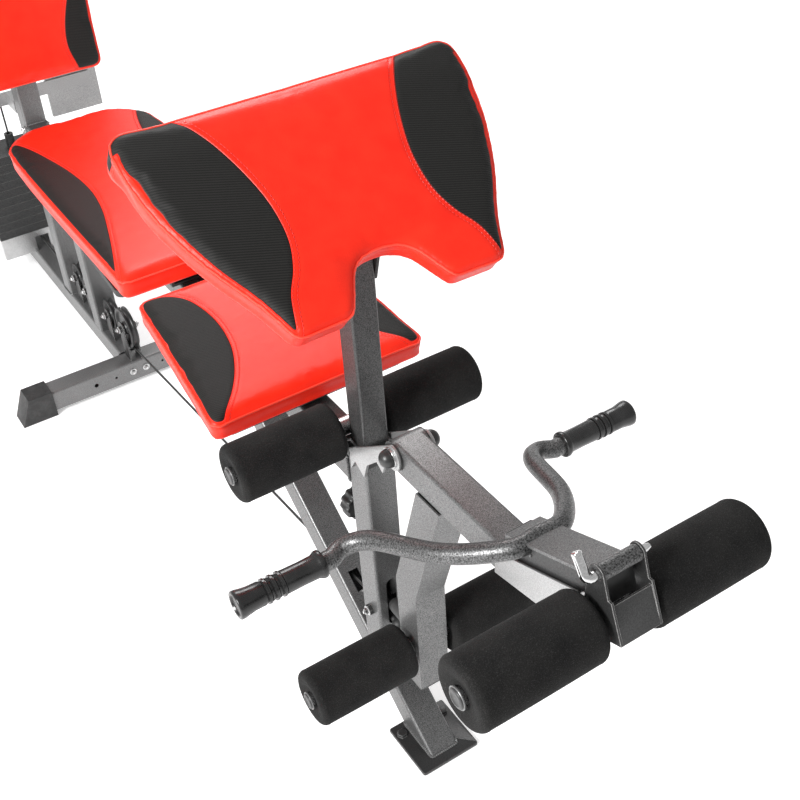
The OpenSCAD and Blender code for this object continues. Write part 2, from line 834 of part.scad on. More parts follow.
function preacher_half() = concat(
  arc([preacher_front_w - 16, 20], 20, -80, 10),
  [[preacher_front_w + 32, 86], [preacher_front_w + 56, 132], [preacher_rear_w - 8, 209]],
  arc([preacher_rear_w - 28, preacher_len - 40], 28, 0, 60),
  [[preacher_rear_w - 40, preacher_len - 3], [preacher_rear_w - 70, preacher_len]]);

module preacher_outline() {
  h = preacher_half();
  polygon(concat([[notch_w + 6, 0]], h, [for (i = [len(h) - 1:-1:0]) [-h[i][0], h[i][1]]],
    [[-notch_w - 6, 0]], arc([0, 8], notch_w - 10, 170, 10, 12)));
}

module preacher_pad() {
  color("red") on_preacher() {
    translate([0, 0, -preacher_t]) linear_extrude(preacher_t) preacher_outline();
    translate([0, 0, -preacher_t - preacher_drop]) linear_extrude(preacher_drop + 1) intersection() {
      preacher_outline();
      translate([-300, preacher_len - preacher_roll]) square([600, preacher_roll]);
    }
  }
}

module preacher_board() {
  y0 = notch_d + 34;
  color("#222222") difference() {
    union() {
      on_preacher() translate([0, 0, -preacher_t - 0.4 - board_t]) linear_extrude(board_t)
        polygon([[-130, y0], [130, y0], [170, preacher_len - 70], [-170, preacher_len - 70]]);
      mirror_x() side_plate(preacher_post_w / 2 + 0.1, 4, [
        [post_mid - 16, preacher_post_top - 60], [post_mid + 16, preacher_post_top - 60],
        [post_mid + 60, preacher_post_top + 60], [post_mid - 34, preacher_post_top]]);
    }
    above_preacher(preacher_t + 0.4);
  }
}

module lock_knob() {
  y0 = post_y + tube_w;
  color("black") {
    along_y([0, post_mid + preacher_post_w / 2 + 0.3, knob_z]) cylinder(r = 4.9, h = y0 - post_mid + 20);
    along_y([0, y0 + 1, knob_z]) cylinder(r = 11, h = 20);
    along_y([0, y0 + 18, knob_z]) difference() {
      cylinder(r = knob_r, h = 24);
      for (i = [0:11]) rotate(i * 30) translate([knob_r + 1, 0, -1]) cylinder(r = 3, h = 30, $fn = 16);
    }
  }
}

// ---------- seats and backrest ----------

module on_seat() {
  translate([0, seat_y, seat_z]) rotate([seat_slope, 0, 0]) children();
}

module front_seat_pad() {
  color("red") on_seat() translate([0, 0, -pad_t]) linear_extrude(pad_t)
    polygon(pad_outline(seat_front_w, seat_rear_w, seat_len, 24));
}

module seat_frame() {
  y0 = 60;
  y1 = seat_len - 40;
  color("#222222") {
    on_seat() translate([0, 22, -pad_t - 0.4 - board_t]) linear_extrude(board_t)
      polygon(pad_outline(seat_front_w - 30, seat_rear_w - 30, seat_len - 44, 16));
  }
  color("slategray") mirror_x() difference() {
    side_plate(16, 5, [[seat_y + y0, beam_top], [seat_y + y1, beam_top], [seat_y + y1, seat_z],
      [seat_y + y0, seat_z]]);
    on_seat() translate([-200, -200, -pad_t - 0.4 - board_t]) cube([400, 900, 200]);
  }
}

// outline of the middle seat, drawn in by d: straight sides and a rounded tail
function bench_outline(d) = concat(
  arc([bench_w - 22, 22 + d], 22 - d * 0.2, -90, 0), [[bench_w - d, bench_len * bench_straight]],
  [for (a = [15:15:75]) [bench_tail_w + (bench_w - d - bench_tail_w) * cos(a),
    bench_len * bench_straight + (bench_len * (1 - bench_straight) - d) * sin(a)]]);

module bench_shape(d) {
  h = bench_outline(d);
  n = len(h);
  polygon(concat(h, [[bench_tail_w, bench_len - d], [-bench_tail_w, bench_len - d]],
    [for (i = [n - 1:-1:0]) [-h[i][0], h[i][1]]]));
}

module middle_seat_pad() {
  color("red") translate([0, bench_y, bench_z - pad_t]) linear_extrude(pad_t) bench_shape(0);
}

module middle_seat_frame() {
  z1 = bench_z - pad_t - 0.4;
  color("#222222") translate([0, bench_y, z1 - board_t]) linear_extrude(board_t) bench_shape(34);
  color("slategray") for (y = [bench_y + 110, bench_y + bench_len - 170])
    translate([-40, y, beam_top]) difference() {
      cube([80, 60, z1 - board_t - beam_top]);
      translate([5, -1, 5]) cube([70, 62, z1 - board_t - beam_top - 10]);
    }
}

module on_back() {
  translate([0, back_face_y, back_z]) rotate([90 - back_lean, 0, 0]) children();
}

module backrest_pad() {
  color("red") on_back() translate([0, 0, -pad_t]) linear_extrude(pad_t)
    polygon(pad_outline(back_w, back_w + 14, back_len, 24));
}

module backrest_frame() {
  color("#222222") on_back() translate([0, 24, -pad_t - 0.4 - board_t]) linear_extrude(board_t)
    polygon(pad_outline(back_w - 26, back_w - 14, back_len - 48, 16));
  color("slategray") for (z = [back_z + 90, back_z + 400]) difference() {
    translate([-60, back_face_y + 30, z]) cube([120, column_y - back_face_y - 30, 40]);
    on_back() translate([-200, -100, -pad_t - 0.4 - board_t]) cube([400, 900, 200]);
    translate([-55, back_face_y + 20, z + 5]) cube([110, column_y - back_face_y - 25, 30]);
  }
}

// ---------- weight stack ----------

module guide_rods() {
  color("silver") for (s = [-1, 1])
    translate([s * rod_x, stack_y, stack_z - 2]) cylinder(r = rod_r, h = column_top + top_plate_t - stack_z + 2);
  // base block, with a channel for the cable
  color("slategray") difference() {
    translate([-plate_w, stack_y - plate_d / 2, rail_top]) cube([2 * plate_w, plate_d, stack_z - rail_top - 0.4]);
    translate([-slot_w, stack_y - plate_d, rail_top - 1]) cube([2 * slot_w, 2 * plate_d, cable_z + 10 - rail_top]);
  }
}

module weight_plate(z, t) {
  difference() {
    translate([-plate_w, stack_y - plate_d / 2, z]) cube([2 * plate_w, plate_d, t]);
    for (s = [-1, 1]) translate([s * rod_x, stack_y, z - 1]) cylinder(r = rod_r + gap, h = t + 2);
    translate([0, stack_y, z - 1]) cylinder(r = stem_r, h = t + 2);
    along_y([0, stack_y, z + t / 2]) cylinder(r = pin_hole_r + 0.3, h = plate_d);
  }
}

module weight_plates() {
  pin_z = stack_z + pin_plate * plate_t + plate_t / 2 - 0.3;
  color("#333333") for (i = [0:plates - 1]) weight_plate(stack_z + i * plate_t, plate_t - 0.6);
  color("silver") difference() {
    translate([0, stack_y, stack_z + 4]) cylinder(r = stem_r, h = plates_top - stack_z + 30);
    // the cable's end hangs in this bore when the plates rise
    translate([0, stack_y, stack_z]) cylinder(r = stem_bore_r, h = plates_top);
    along_y([0, stack_y - 0.5, pin_z]) cylinder(r = pin_hole_r + 0.3, h = plate_d);
  }
}

module selector_pin() {
  pin_z = stack_z + pin_plate * plate_t + plate_t / 2 - 0.3;
  color("red") along_y([0, stack_y + plate_d / 2 + 4, pin_z]) cylinder(r = 10, h = 30);
  color("silver") along_y([0, stack_y + stem_bore_r + gap, pin_z])
    cylinder(r = pin_hole_r, h = plate_d / 2 + 5 - stem_bore_r - gap);
}

module shroud_panels() {
  color("lightgray") mirror_x() {
    translate([shroud_x0, shroud_y, shroud_z0]) cube([shroud_x1 - shroud_x0, 2, shroud_h]);
    translate([shroud_x1 - 2, shroud_y, shroud_z0]) cube([2, stack_y + plate_d / 2 - shroud_y, shroud_h]);
    translate([shroud_x0, shroud_y, shroud_z0]) cube([2, 10, shroud_h]);
    // arms that carry the panels from the column
    for (z = [shroud_z0 + 60, shroud_z0 + shroud_h - 90])
      translate([half, shroud_y - 4, z]) cube([shroud_x1 - half - 20, 4, 30]);
  }
  color("lightgray") for (z = [shroud_z0 + 60, shroud_z0 + shroud_h - 90])
    translate([-half - 1, column_y + tube_w, z]) cube([tube_w + 2, shroud_y - column_y - tube_w, 30]);
}

// ---------- pulleys and cable ----------

module pulley(y, z, r, w = pulley_w) {
  lip = cable_r + 2;
  flat = cable_r - 0.5;
  points = [[axle_r + run_gap, 0], [r, 0], [r, w / 2 - lip], [r - groove_d, w / 2 - flat],
    [r - groove_d, w / 2 + flat], [r, w / 2 + lip], [r, w], [axle_r + run_gap, w]];
  color("#1c1c1c") along_x([-w / 2, y, z]) rotate_extrude($fn = 72) polygon(points);
}

module low_pulley() {
  pulley(post_mid, low_pulley_z, low_pulley_r);
}

module front_pulley() {
  pulley(front_pulley_y, front_pulley_z, pulley_r);
}

module guide_pulley_1() {
  pulley(guide_ys[0], guide_z, guide_r);
}

module guide_pulley_2() {
  pulley(guide_ys[1], guide_z, guide_r);
}

module guide_pulley_3() {
  pulley(guide_ys[2], guide_z, guide_r);
}

module base_pulley() {
  pulley(base_pulley_y, base_pulley_z, pulley_r);
}

module top_pulley_front() {
  pulley(stack_y + turn_r, top_pulley_z, pulley_r);
}

module top_pulley_rear() {
  pulley(base_pulley_y, top_pulley_z, pulley_r);
}

// a pair of cheeks from a frame member at height z0 to an axle at height z
module cheeks(y, z, z0, wide = 30) {
  tall = abs(z - z0);
  color("#333333") mirror_x() {
    translate([bracket_x, y - wide / 2, min(z, z0)]) cube([bracket_t, wide, tall]);
    along_x([bracket_x, y, z]) cylinder(r = wide / 2, h = bracket_t);
  }
  color("silver") {
    bar_x(y, z, axle_r, 2 * (bracket_x + bracket_t + 1));
    mirror_x() along_x([bracket_x + bracket_t, y, z]) cylinder(r = axle_r + 4, h = 6, $fn = 6);
  }
}

module pulley_brackets() {
  for (y = guide_ys) cheeks(y, guide_z, rail_top);
  cheeks(front_pulley_y, front_pulley_z, stab_z + tube_w, 36);
  cheeks(base_pulley_y, base_pulley_z, rail_top, 36);
  cheeks(stack_y + turn_r, top_pulley_z, column_top, 36);
  cheeks(base_pulley_y, top_pulley_z, column_top, 36);
  color("silver") {
    bar_x(post_mid, low_pulley_z, axle_r, tube_w + 8);
    mirror_x() along_x([half, post_mid, low_pulley_z]) cylinder(r = axle_r + 4, h = 7, $fn = 6);
  }
}

// the cable's centre line in the YZ plane: slot, rail, base pulley, top pulleys, stack
cable_line = concat(
  [[post_y - 6, cable_front_z], [post_mid, cable_front_z], [post_mid + 40, cable_front_z - 3],
   [front_pulley_y - 40, cable_z + 3], [front_pulley_y, cable_z]],
  arc([base_pulley_y, base_pulley_z], turn_r, -90, 0, 9),
  arc([base_pulley_y, top_pulley_z], turn_r, 0, 90, 9),
  arc([stack_y + turn_r, top_pulley_z], turn_r, 90, 180, 9),
  [[stack_y, plates_top + 20]]);

module cable() {
  color("black") sweep([for (p = cable_line) [0, p[0], p[1]]], cable_r, 10, [1, 0, 0]);
  // stop ball in front of the slot
  color("silver") translate([0, post_y - 14, cable_front_z]) sphere(r = 11, $fn = 32);
}

front_foot_plate();
front_leg();
front_post();
post_collar();
main_beam();
middle_strut();
floor_rail();
middle_stabilizer();
rear_stabilizer();
stabilizer_caps();
rear_column();
top_beam();
pivot_ears();
pivot_bolt();
knee_shaft();
knee_roller_left();
knee_roller_right();
lever_arm();
lever_saddle();
lever_top_plate();
lever_slider();
lever_plugs();
pivot_bushings();
hanging_tube();
rubber_stop();
shin_shaft();
shin_roller_left();
shin_roller_right();
curl_bar();
curl_grips();
pin_sleeve();
end_yoke();
end_shaft();
end_roller_left();
end_roller_right();
l_pin();
preacher_post();
preacher_board();
preacher_pad();
lock_knob();
seat_frame();
front_seat_pad();
middle_seat_frame();
middle_seat_pad();
backrest_frame();
backrest_pad();
guide_rods();
weight_plates();
selector_pin();
shroud_panels();
cable();
pulley_brackets();
low_pulley();
front_pulley();
guide_pulley_1();
guide_pulley_2();
guide_pulley_3();
base_pulley();
top_pulley_front();
top_pulley_rear();
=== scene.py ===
import json
import math

import bmesh
import bpy
import numpy as np
from mathutils import Matrix, Vector
from mathutils.bvhtree import BVHTree


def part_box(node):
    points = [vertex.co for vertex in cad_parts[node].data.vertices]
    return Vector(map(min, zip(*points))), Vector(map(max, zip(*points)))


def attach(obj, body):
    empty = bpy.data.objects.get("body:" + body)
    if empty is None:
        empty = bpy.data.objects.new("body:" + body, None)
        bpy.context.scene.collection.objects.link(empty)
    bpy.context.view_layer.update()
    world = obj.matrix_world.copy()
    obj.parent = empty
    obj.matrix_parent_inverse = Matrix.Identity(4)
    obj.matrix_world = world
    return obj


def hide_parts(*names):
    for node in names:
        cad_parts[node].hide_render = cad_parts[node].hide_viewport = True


# Adjustable weight bench: pads, rollers, grips, bar, pulleys and finishes over the fixed frame.
# Measures are in millimetres and turned into metres when a piece is made.

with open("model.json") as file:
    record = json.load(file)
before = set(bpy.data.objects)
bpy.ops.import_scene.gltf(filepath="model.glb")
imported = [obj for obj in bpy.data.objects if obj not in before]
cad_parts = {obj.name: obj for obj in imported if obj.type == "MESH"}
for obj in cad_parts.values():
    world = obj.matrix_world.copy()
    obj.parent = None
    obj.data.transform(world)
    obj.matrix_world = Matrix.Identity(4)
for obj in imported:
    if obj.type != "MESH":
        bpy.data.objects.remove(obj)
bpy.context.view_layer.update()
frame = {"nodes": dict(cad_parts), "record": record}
scene = bpy.context.scene
MM = 0.001
TURN = 2 * math.pi


# ---------- shapes ----------

def unit(v):
    """Each row divided by its length."""
    v = np.asarray(v, float)
    return v / np.maximum(np.linalg.norm(v, axis=-1, keepdims=True), 1e-12)


def grid_part(grid, ends="cap"):
    """A closed part from a grid of points, rows by columns, whose columns run round.

    Each point joins the next in its row and the same one in the next row. ends is "cap", where
    the middle point of the first and last row closes them, or "join", where the last row meets
    the first. Faces are turned round if the solid comes out with a negative volume.
    """
    rows, cols = grid.shape[:2]
    points = grid.reshape(-1, 3)
    last = rows if ends == "join" else rows - 1
    r, c = np.meshgrid(np.arange(last), np.arange(cols), indexing="ij")
    below = (r + 1) % rows
    beside = (c + 1) % cols
    quads = np.stack([r * cols + c, r * cols + beside, below * cols + beside, below * cols + c], -1)
    quads = quads.reshape(-1, 4)
    threes = np.zeros((0, 3), int)
    if ends == "cap":
        points = np.concatenate([points, grid[:1].mean(1), grid[-1:].mean(1)])
        c = np.arange(cols)
        beside = (c + 1) % cols
        first = np.stack([beside, c, np.full(cols, rows * cols)], -1)
        base = (rows - 1) * cols
        final = np.stack([base + c, base + beside, np.full(cols, rows * cols + 1)], -1)
        threes = np.concatenate([first, final])
    halves = np.concatenate([quads[:, :3], quads[:, [0, 2, 3]], threes])
    a, b, c = points[halves[:, 0]], points[halves[:, 1]], points[halves[:, 2]]
    if (a * np.cross(b, c)).sum() < 0:
        quads = quads[:, ::-1]
        threes = threes[:, ::-1]
    return points, quads, threes


def turned(profile, centre, along, sides=48, ends="cap"):
    """Surface of revolution: centre + t along the axis + r times a unit circle across it."""
    t, r = np.array(profile, float).T
    axis = unit(along)
    side = unit(np.cross(axis, (0, 0, 1) if abs(axis[2]) < 0.9 else (1, 0, 0)))
    up = np.cross(axis, side)
    a = np.arange(sides) * TURN / sides
    circle = np.cos(a)[:, None] * side + np.sin(a)[:, None] * up
    grid = np.asarray(centre, float) + t[:, None, None] * axis + r[:, None, None] * circle
    return grid_part(grid, ends)


def swept(path, radius, sides=16, across=(0, 0, 1), ends="cap"):
    """Tube: each path point + radius times a unit circle square to the path.

    across is a direction that the path never runs along; radius is one number or one per point.
    """
    path = np.asarray(path, float)
    if ends == "join":
        heading = unit(np.roll(path, -1, 0) - np.roll(path, 1, 0))
    else:
        heading = unit(np.gradient(path, axis=0))
    side = unit(np.cross(heading, across))
    up = np.cross(heading, side)
    a = np.arange(sides) * TURN / sides
    r = np.broadcast_to(radius, len(path))[:, None, None]
    grid = path[:, None] + r * (np.cos(a)[:, None] * side[:, None] + np.sin(a)[:, None] * up[:, None])
    return grid_part(grid, ends)


def curve_through(points, steps):
    """Smooth line through the points: the cubic whose slope at a point is half the step across it."""
    p = np.asarray(points, float)
    p = np.concatenate([p[:1], p, p[-1:]])
    t = np.linspace(0, 1, steps, endpoint=False)[:, None, None]
    a, b, c, d = p[:-3], p[1:-2], p[2:-1], p[3:]
    bends = 0.5 * (2 * b + (c - a) * t + (2 * a - 5 * b + 4 * c - d) * t**2 + (3 * b - a - 3 * c + d) * t**3)
    line = bends.transpose(1, 0, 2).reshape(-1, p.shape[1])
    return np.concatenate([line, p[-2:-1]])


def evenly(line, count, closed=False):
    """count points at equal steps of length along a line."""
    if closed:
        line = np.concatenate([line, line[:1]])
    length = np.concatenate([[0], np.cumsum(np.linalg.norm(np.diff(line, axis=0), axis=1))])
    at = np.linspace(0, length[-1], count, endpoint=not closed)
    return np.stack([np.interp(at, length, line[:, k]) for k in range(line.shape[1])], -1)


def softened_loop(corners, count):
    """Closed outline: each corner (x, y, cut) is cut back by cut along both edges and rounded.

    The round part is the curve (1-t)^2 A + 2t(1-t) C + t^2 B between the cuts A and B round C.
    """
    corners = np.array(corners, float)
    c = corners[:, :2]
    before = np.roll(c, 1, 0) - c
    after = np.roll(c, -1, 0) - c
    cut_a = np.minimum(corners[:, 2], np.linalg.norm(before, axis=1) / 2)[:, None]
    cut_b = np.minimum(corners[:, 2], np.linalg.norm(after, axis=1) / 2)[:, None]
    a = c + unit(before) * cut_a
    b = c + unit(after) * cut_b
    t = np.linspace(0, 1, 12)[None, :, None]
    loop = (1 - t)**2 * a[:, None] + 2 * t * (1 - t) * c[:, None] + t**2 * b[:, None]
    return evenly(loop.reshape(-1, 2), count, closed=True)


def mirrored_loop(half, count=400):
    """Closed outline from its right-hand corners, listed from the front to the back."""
    left = [(-x, y, cut) for x, y, cut in reversed(half)]
    return softened_loop(list(half) + left, count)


def make_piece(name, parts, material, body, sharp=40):
    """One object from its parts, riding on a body, with edges sharper than an angle kept crisp."""
    counts = np.cumsum([0] + [len(p) for p, _, _ in parts])
    points = np.concatenate([p for p, _, _ in parts]) * MM
    faces = []
    for (_, quads, threes), start in zip(parts, counts):
        faces += (quads + start).tolist() + (threes + start).tolist()
    mesh = bpy.data.meshes.new(name)
    mesh.from_pydata(points.tolist(), [], faces)
    mesh.shade_smooth()
    mesh.set_sharp_from_angle(angle=math.radians(sharp))
    mesh.materials.append(material)
    piece = bpy.data.objects.new(name, mesh)
    scene.collection.objects.link(piece)
    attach(piece, body)
    return piece


def eased_edges(node, body, width, material, segments=3):
    """A copy of a node's solid, merged to whole faces, with its edges rounded by width."""
    mesh = frame["nodes"][node].data.copy()
    solid = bmesh.new()
    solid.from_mesh(mesh)
    bmesh.ops.remove_doubles(solid, verts=solid.verts, dist=2e-5)
    bmesh.ops.dissolve_limit(solid, angle_limit=math.radians(1), verts=solid.verts, edges=solid.edges)
    solid.to_mesh(mesh)
    solid.free()
    mesh.materials.clear()
    mesh.materials.append(material)
    mesh.shade_smooth()
    piece = bpy.data.objects.new(node + "_eased", mesh)
    scene.collection.objects.link(piece)
    bevel = piece.modifiers.new("eased edges", "BEVEL")
    bevel.width = width * MM
    bevel.segments = segments
    bevel.limit_method = "ANGLE"
    bevel.angle_limit = math.radians(35)
    bevel.harden_normals = True
    bevel.use_clamp_overlap = True
    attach(piece, body)
    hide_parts(node)
    return piece


# ---------- finishes ----------

class Finish:
    """A procedural material: short calls add nodes and return the socket to use next."""

    def __init__(self, name):
        self.material = bpy.data.materials.new(name)
        self.material.use_nodes = True
        self.tree = self.material.node_tree
        self.shader = self.tree.nodes["Principled BSDF"]
        self.place = self.node("TexCoord").outputs["Object"]

    def node(self, kind, **settings):
        """Adds one node of a kind, with its settings."""
        made = self.tree.nodes.new("ShaderNode" + kind)
        for key, value in settings.items():
            setattr(made, key, value)
        return made

    def join(self, value, socket):
        """Links a socket, or sets a plain value."""
        if isinstance(value, bpy.types.NodeSocket):
            self.tree.links.new(value, socket)
        else:
            socket.default_value = value

    def set(self, **values):
        """Sets or links the shader's inputs, with _ for a space in the name."""
        for key, value in values.items():
            self.join(value, self.shader.inputs[key.replace("_", " ")])

    def sum(self, operation, a, b=0.0, c=0.0):
        """One operation of arithmetic on plain values or sockets."""
        made = self.node("Math", operation=operation)
        for value, socket in zip((a, b, c), made.inputs):
            self.join(value, socket)
        return made.outputs[0]

    def noise(self, grain, detail=2.0, rough=0.5, place=None, squash=(1, 1, 1)):
        """Noise whose blobs are about grain millimetres across."""
        spread = self.node("Mapping")
        self.join(place or self.place, spread.inputs["Vector"])
        spread.inputs["Scale"].default_value = squash
        made = self.node("TexNoise")
        self.join(spread.outputs[0], made.inputs["Vector"])
        made.inputs["Scale"].default_value = 1 / (grain * MM)
        made.inputs["Detail"].default_value = detail
        made.inputs["Roughness"].default_value = rough
        return made.outputs["Fac"]

    def cells(self, grain, feature="F1"):
        """Distance to the nearest of scattered points, grain millimetres apart."""
        made = self.node("TexVoronoi", feature=feature)
        self.join(self.place, made.inputs["Vector"])
        made.inputs["Scale"].default_value = 1 / (grain * MM)
        return made.outputs["Distance"]

    def ramp(self, value, *stops):
        """Colours or greys by position: stops are (position, colour or grey)."""
        made = self.node("ValToRGB")
        self.join(value, made.inputs["Fac"])
        steps = made.color_ramp.elements
        while len(steps) < len(stops):
            steps.new(0.5)
        for step, (position, colour) in zip(steps, stops):
            step.position = position
            grey = isinstance(colour, (int, float))
            step.color = (colour, colour, colour, 1) if grey else (*colour, 1)
        return made.outputs["Color"]

    def blend(self, amount, a, b, kind="MIX"):
        """Mixes colour a with b, where an amount of 1 is b alone."""
        made = self.node("Mix", data_type="RGBA", blend_type=kind)
        self.join(amount, made.inputs["Factor"])
        for value, socket in ((a, made.inputs["A"]), (b, made.inputs["B"])):
            plain = value if isinstance(value, bpy.types.NodeSocket) else (*value, 1)
            self.join(plain, socket)
        return made.outputs["Result"]

    def bump(self, height, depth, strength=1.0, over=None):
        """Bump whose height of 1 stands depth millimetres proud."""
        made = self.node("Bump")
        self.join(height, made.inputs["Height"])
        made.inputs["Distance"].default_value = depth * MM
        made.inputs["Strength"].default_value = strength
        if over is not None:
            self.join(over, made.inputs["Normal"])
        self.join(made.outputs[0], self.shader.inputs["Normal"])
        return made.outputs[0]

    def edge(self, width):
        """About 1 on edges sharper than a rounding of width millimetres and 0 on flat faces."""
        rounded = self.node("Bevel", samples=4)
        rounded.inputs["Radius"].default_value = width * MM
        flat = self.node("NewGeometry").outputs["Normal"]
        made = self.node("VectorMath", operation="DOT_PRODUCT")
        self.join(rounded.outputs[0], made.inputs[0])
        self.join(flat, made.inputs[1])
        return self.sum("MULTIPLY", self.sum("SUBTRACT", 1.0, made.outputs["Value"]), 9.0)


def hammer_paint(name, dark, light, grain, metal=0.85, rough=0.36, relief=0.25, worn=0.0):
    """Hammer-finish paint: dark pits on a lighter metallic ground, with slow changes of tone."""
    f = Finish(name)
    pits = f.noise(grain, 3.0, 0.62)
    slow = f.noise(90, 2.0)
    tone = f.ramp(pits, (0.34, dark), (0.5, 0.5 * (dark + light)), (0.66, light))
    tone = f.blend(0.35, tone, f.ramp(slow, (0.3, dark), (0.7, light)), "OVERLAY")
    if worn:
        bare = f.sum("MULTIPLY", f.edge(1.2), f.noise(5, 3.0))
        tone = f.blend(f.sum("MINIMUM", bare, worn), tone, (0.62, 0.61, 0.6))
    f.set(Base_Color=tone, Metallic=metal, Coat_Weight=0.15, Coat_Roughness=0.25)
    f.set(Roughness=f.ramp(pits, (0.3, rough + 0.16), (0.7, rough - 0.06)))
    f.bump(pits, relief)
    return f.material


def bare_steel(name, tone, rough, streak=(1, 1, 1)):
    """Plated or turned steel: fine streaks in tone and gloss."""
    f = Finish(name)
    marks = f.noise(1.6, 4.0, 0.6, squash=streak)
    stains = f.noise(14, 3.0)
    f.set(Base_Color=f.blend(0.25, f.ramp(marks, (0.3, tone * 0.72), (0.7, tone)),
                             f.ramp(stains, (0.35, tone * 0.6), (0.65, tone * 1.1)), "MULTIPLY"))
    f.set(Metallic=1.0, Roughness=f.ramp(marks, (0.3, rough * 0.7), (0.7, rough * 1.4)))
    f.bump(marks, 0.02)
    return f.material


def moulded(name, tone, rough, grain=0.9, relief=0.05, scuff=0.02):
    """Moulded plastic or rubber: fine pebble, with paler scuffs on its edges."""
    f = Finish(name)
    pebble = f.noise(grain, 2.0)
    scuffs = f.noise(22, 5.0, 0.65)
    shade = f.ramp(scuffs, (0.42, tone), (0.72, tone + scuff))
    rubbed = f.sum("MINIMUM", f.sum("MULTIPLY", f.edge(0.8), 0.5), 0.35)
    f.set(Base_Color=f.blend(rubbed, shade, (tone + 0.09,) * 3))
    f.set(Roughness=f.ramp(pebble, (0.3, rough + 0.1), (0.7, rough - 0.08)))
    f.bump(pebble, relief)
    return f.material


def closed_foam(name):
    """Black cell foam: pinholes and pale flecks with a dusty sheen."""
    f = Finish(name)
    flecks = f.noise(1.1, 4.0, 0.7)
    holes = f.cells(1.7)
    wear = f.noise(40, 3.0)
    shade = f.ramp(flecks, (0.36, 0.003), (0.56, 0.008), (0.74, 0.05))
    dust = f.ramp(wear, (0.3, (0.004, 0.004, 0.004)), (0.7, (0.018, 0.017, 0.016)))
    shade = f.blend(0.5, shade, dust, "ADD")
    f.set(Base_Color=shade, Roughness=f.ramp(flecks, (0.3, 0.98), (0.7, 0.8)))
    f.set(Sheen_Weight=0.02, Sheen_Roughness=0.5, Specular_IOR_Level=0.1)
    f.bump(f.ramp(holes, (0.0, 0.0), (0.45, 1.0)), 0.35, over=f.bump(flecks, 0.4))
    return f.material


def pad_cover(name):
    """Stitched cover: red grained vinyl with black twill panels, with painted shade across each twill strand
    and in the hollows of the vinyl's folds.

    The piece's panel attribute is the distance in metres past the panel's seam, and its lay
    attribute is the place across, along and above the pad. In the twill, strand i over strand j
    lies on top where i + j counted round in fours is under two.
    """
    f = Finish(name)
    past = f.node("Attribute", attribute_name="panel").outputs["Fac"]
    lay = f.node("Attribute", attribute_name="lay").outputs["Vector"]
    split = f.node("SeparateXYZ")
    f.join(lay, split.inputs[0])
    strand = 1.15 * MM
    turn = math.radians(28)
    across = f.sum("ADD", f.sum("MULTIPLY", split.outputs[0], math.cos(turn) / strand),
                   f.sum("MULTIPLY", split.outputs[1], math.sin(turn) / strand))
    along = f.sum("SUBTRACT", f.sum("MULTIPLY", split.outputs[1], math.cos(turn) / strand),
                  f.sum("MULTIPLY", split.outputs[0], math.sin(turn) / strand))
    across = f.sum("ADD", across, 1600.0)
    along = f.sum("ADD", along, 1600.0)
    round_four = f.sum("MODULO", f.sum("ADD", f.sum("FLOOR", across), f.sum("FLOOR", along)), 4.0)
    warp_up = f.sum("LESS_THAN", round_four, 1.5)
    arch_a = f.sum("SINE", f.sum("MULTIPLY", f.sum("FRACT", across), math.pi))
    arch_b = f.sum("SINE", f.sum("MULTIPLY", f.sum("FRACT", along), math.pi))
    arch = f.sum("ADD", f.sum("MULTIPLY", warp_up, arch_a),
                 f.sum("MULTIPLY", f.sum("SUBTRACT", 1.0, warp_up), arch_b))
    # Each strand is painted lighter along its crown and darker towards its sides: painted shade across the
    # rounded strands, over the twill's two tones.
    warp_shaded = f.ramp(arch_a, (0.0, 0.003), (1.0, (0.022, 0.021, 0.019)))
    weft_shaded = f.ramp(arch_b, (0.0, 0.002), (1.0, (0.006, 0.0057, 0.0053)))
    twill = f.blend(warp_up, weft_shaded, warp_shaded)
    grain = f.cells(1.3, "SMOOTH_F1")
    fold_relief_and_shade = f.noise(30, 3.0)
    tint = f.noise(150, 2.0)
    # The red is painted lighter where the fold relief stands high and darker in its hollows: painted shade. The
    # tint noise is tone that differs at random.
    vinyl = f.blend(0.5, f.ramp(tint, (0.3, (0.80, 0.018, 0.006)), (0.7, (0.88, 0.026, 0.009))),
                    f.ramp(fold_relief_and_shade, (0.3, (0.78, 0.015, 0.005)), (0.7, (0.89, 0.028, 0.010))))
    crack = f.ramp(grain, (0.0, 1.0), (0.7, 0.86))
    vinyl = f.blend(0.35, vinyl, crack, "MULTIPLY")
    is_black = f.ramp(f.sum("ADD", f.sum("MULTIPLY", past, 1500.0), 0.5), (0.0, 0.0), (1.0, 1.0))
    f.set(Base_Color=f.blend(is_black, vinyl, twill))
    f.set(Roughness=f.blend(is_black, f.ramp(grain, (0.0, 0.30), (0.7, 0.42)), (0.55, 0.55, 0.55)))
    f.set(Specular_IOR_Level=0.22)
    seam = f.sum("ABSOLUTE", f.sum("MULTIPLY", past, 1000.0))
    row = f.sum("ABSOLUTE", f.sum("MULTIPLY", f.sum("ADD", past, 0.007), 1000.0))
    furrow = f.sum("MULTIPLY", f.ramp(seam, (0.0, 0.0), (1.0, 1.0)), f.ramp(row, (0.0, 0.45), (0.9, 1.0)))
    skin = f.blend(is_black, f.ramp(grain, (0.0, 0.35), (0.6, 1.0)), f.ramp(arch, (0.0, 0.0), (1.0, 1.0)))
    f.bump(skin, 0.12, over=f.bump(furrow, 0.9, over=f.bump(fold_relief_and_shade, 0.5)))
    return f.material


def thread(name, colour):
    """Twisted thread or a vinyl-covered cord: slight change of tone along it."""
    f = Finish(name)
    twist = f.noise(1.4, 2.0)
    f.set(Base_Color=f.blend(twist, [c * 0.8 for c in colour], [min(1, c * 1.15) for c in colour]))
    f.set(Roughness=f.ramp(twist, (0.3, 0.5), (0.7, 0.34)))
    f.bump(twist, 0.08)
    return f.material


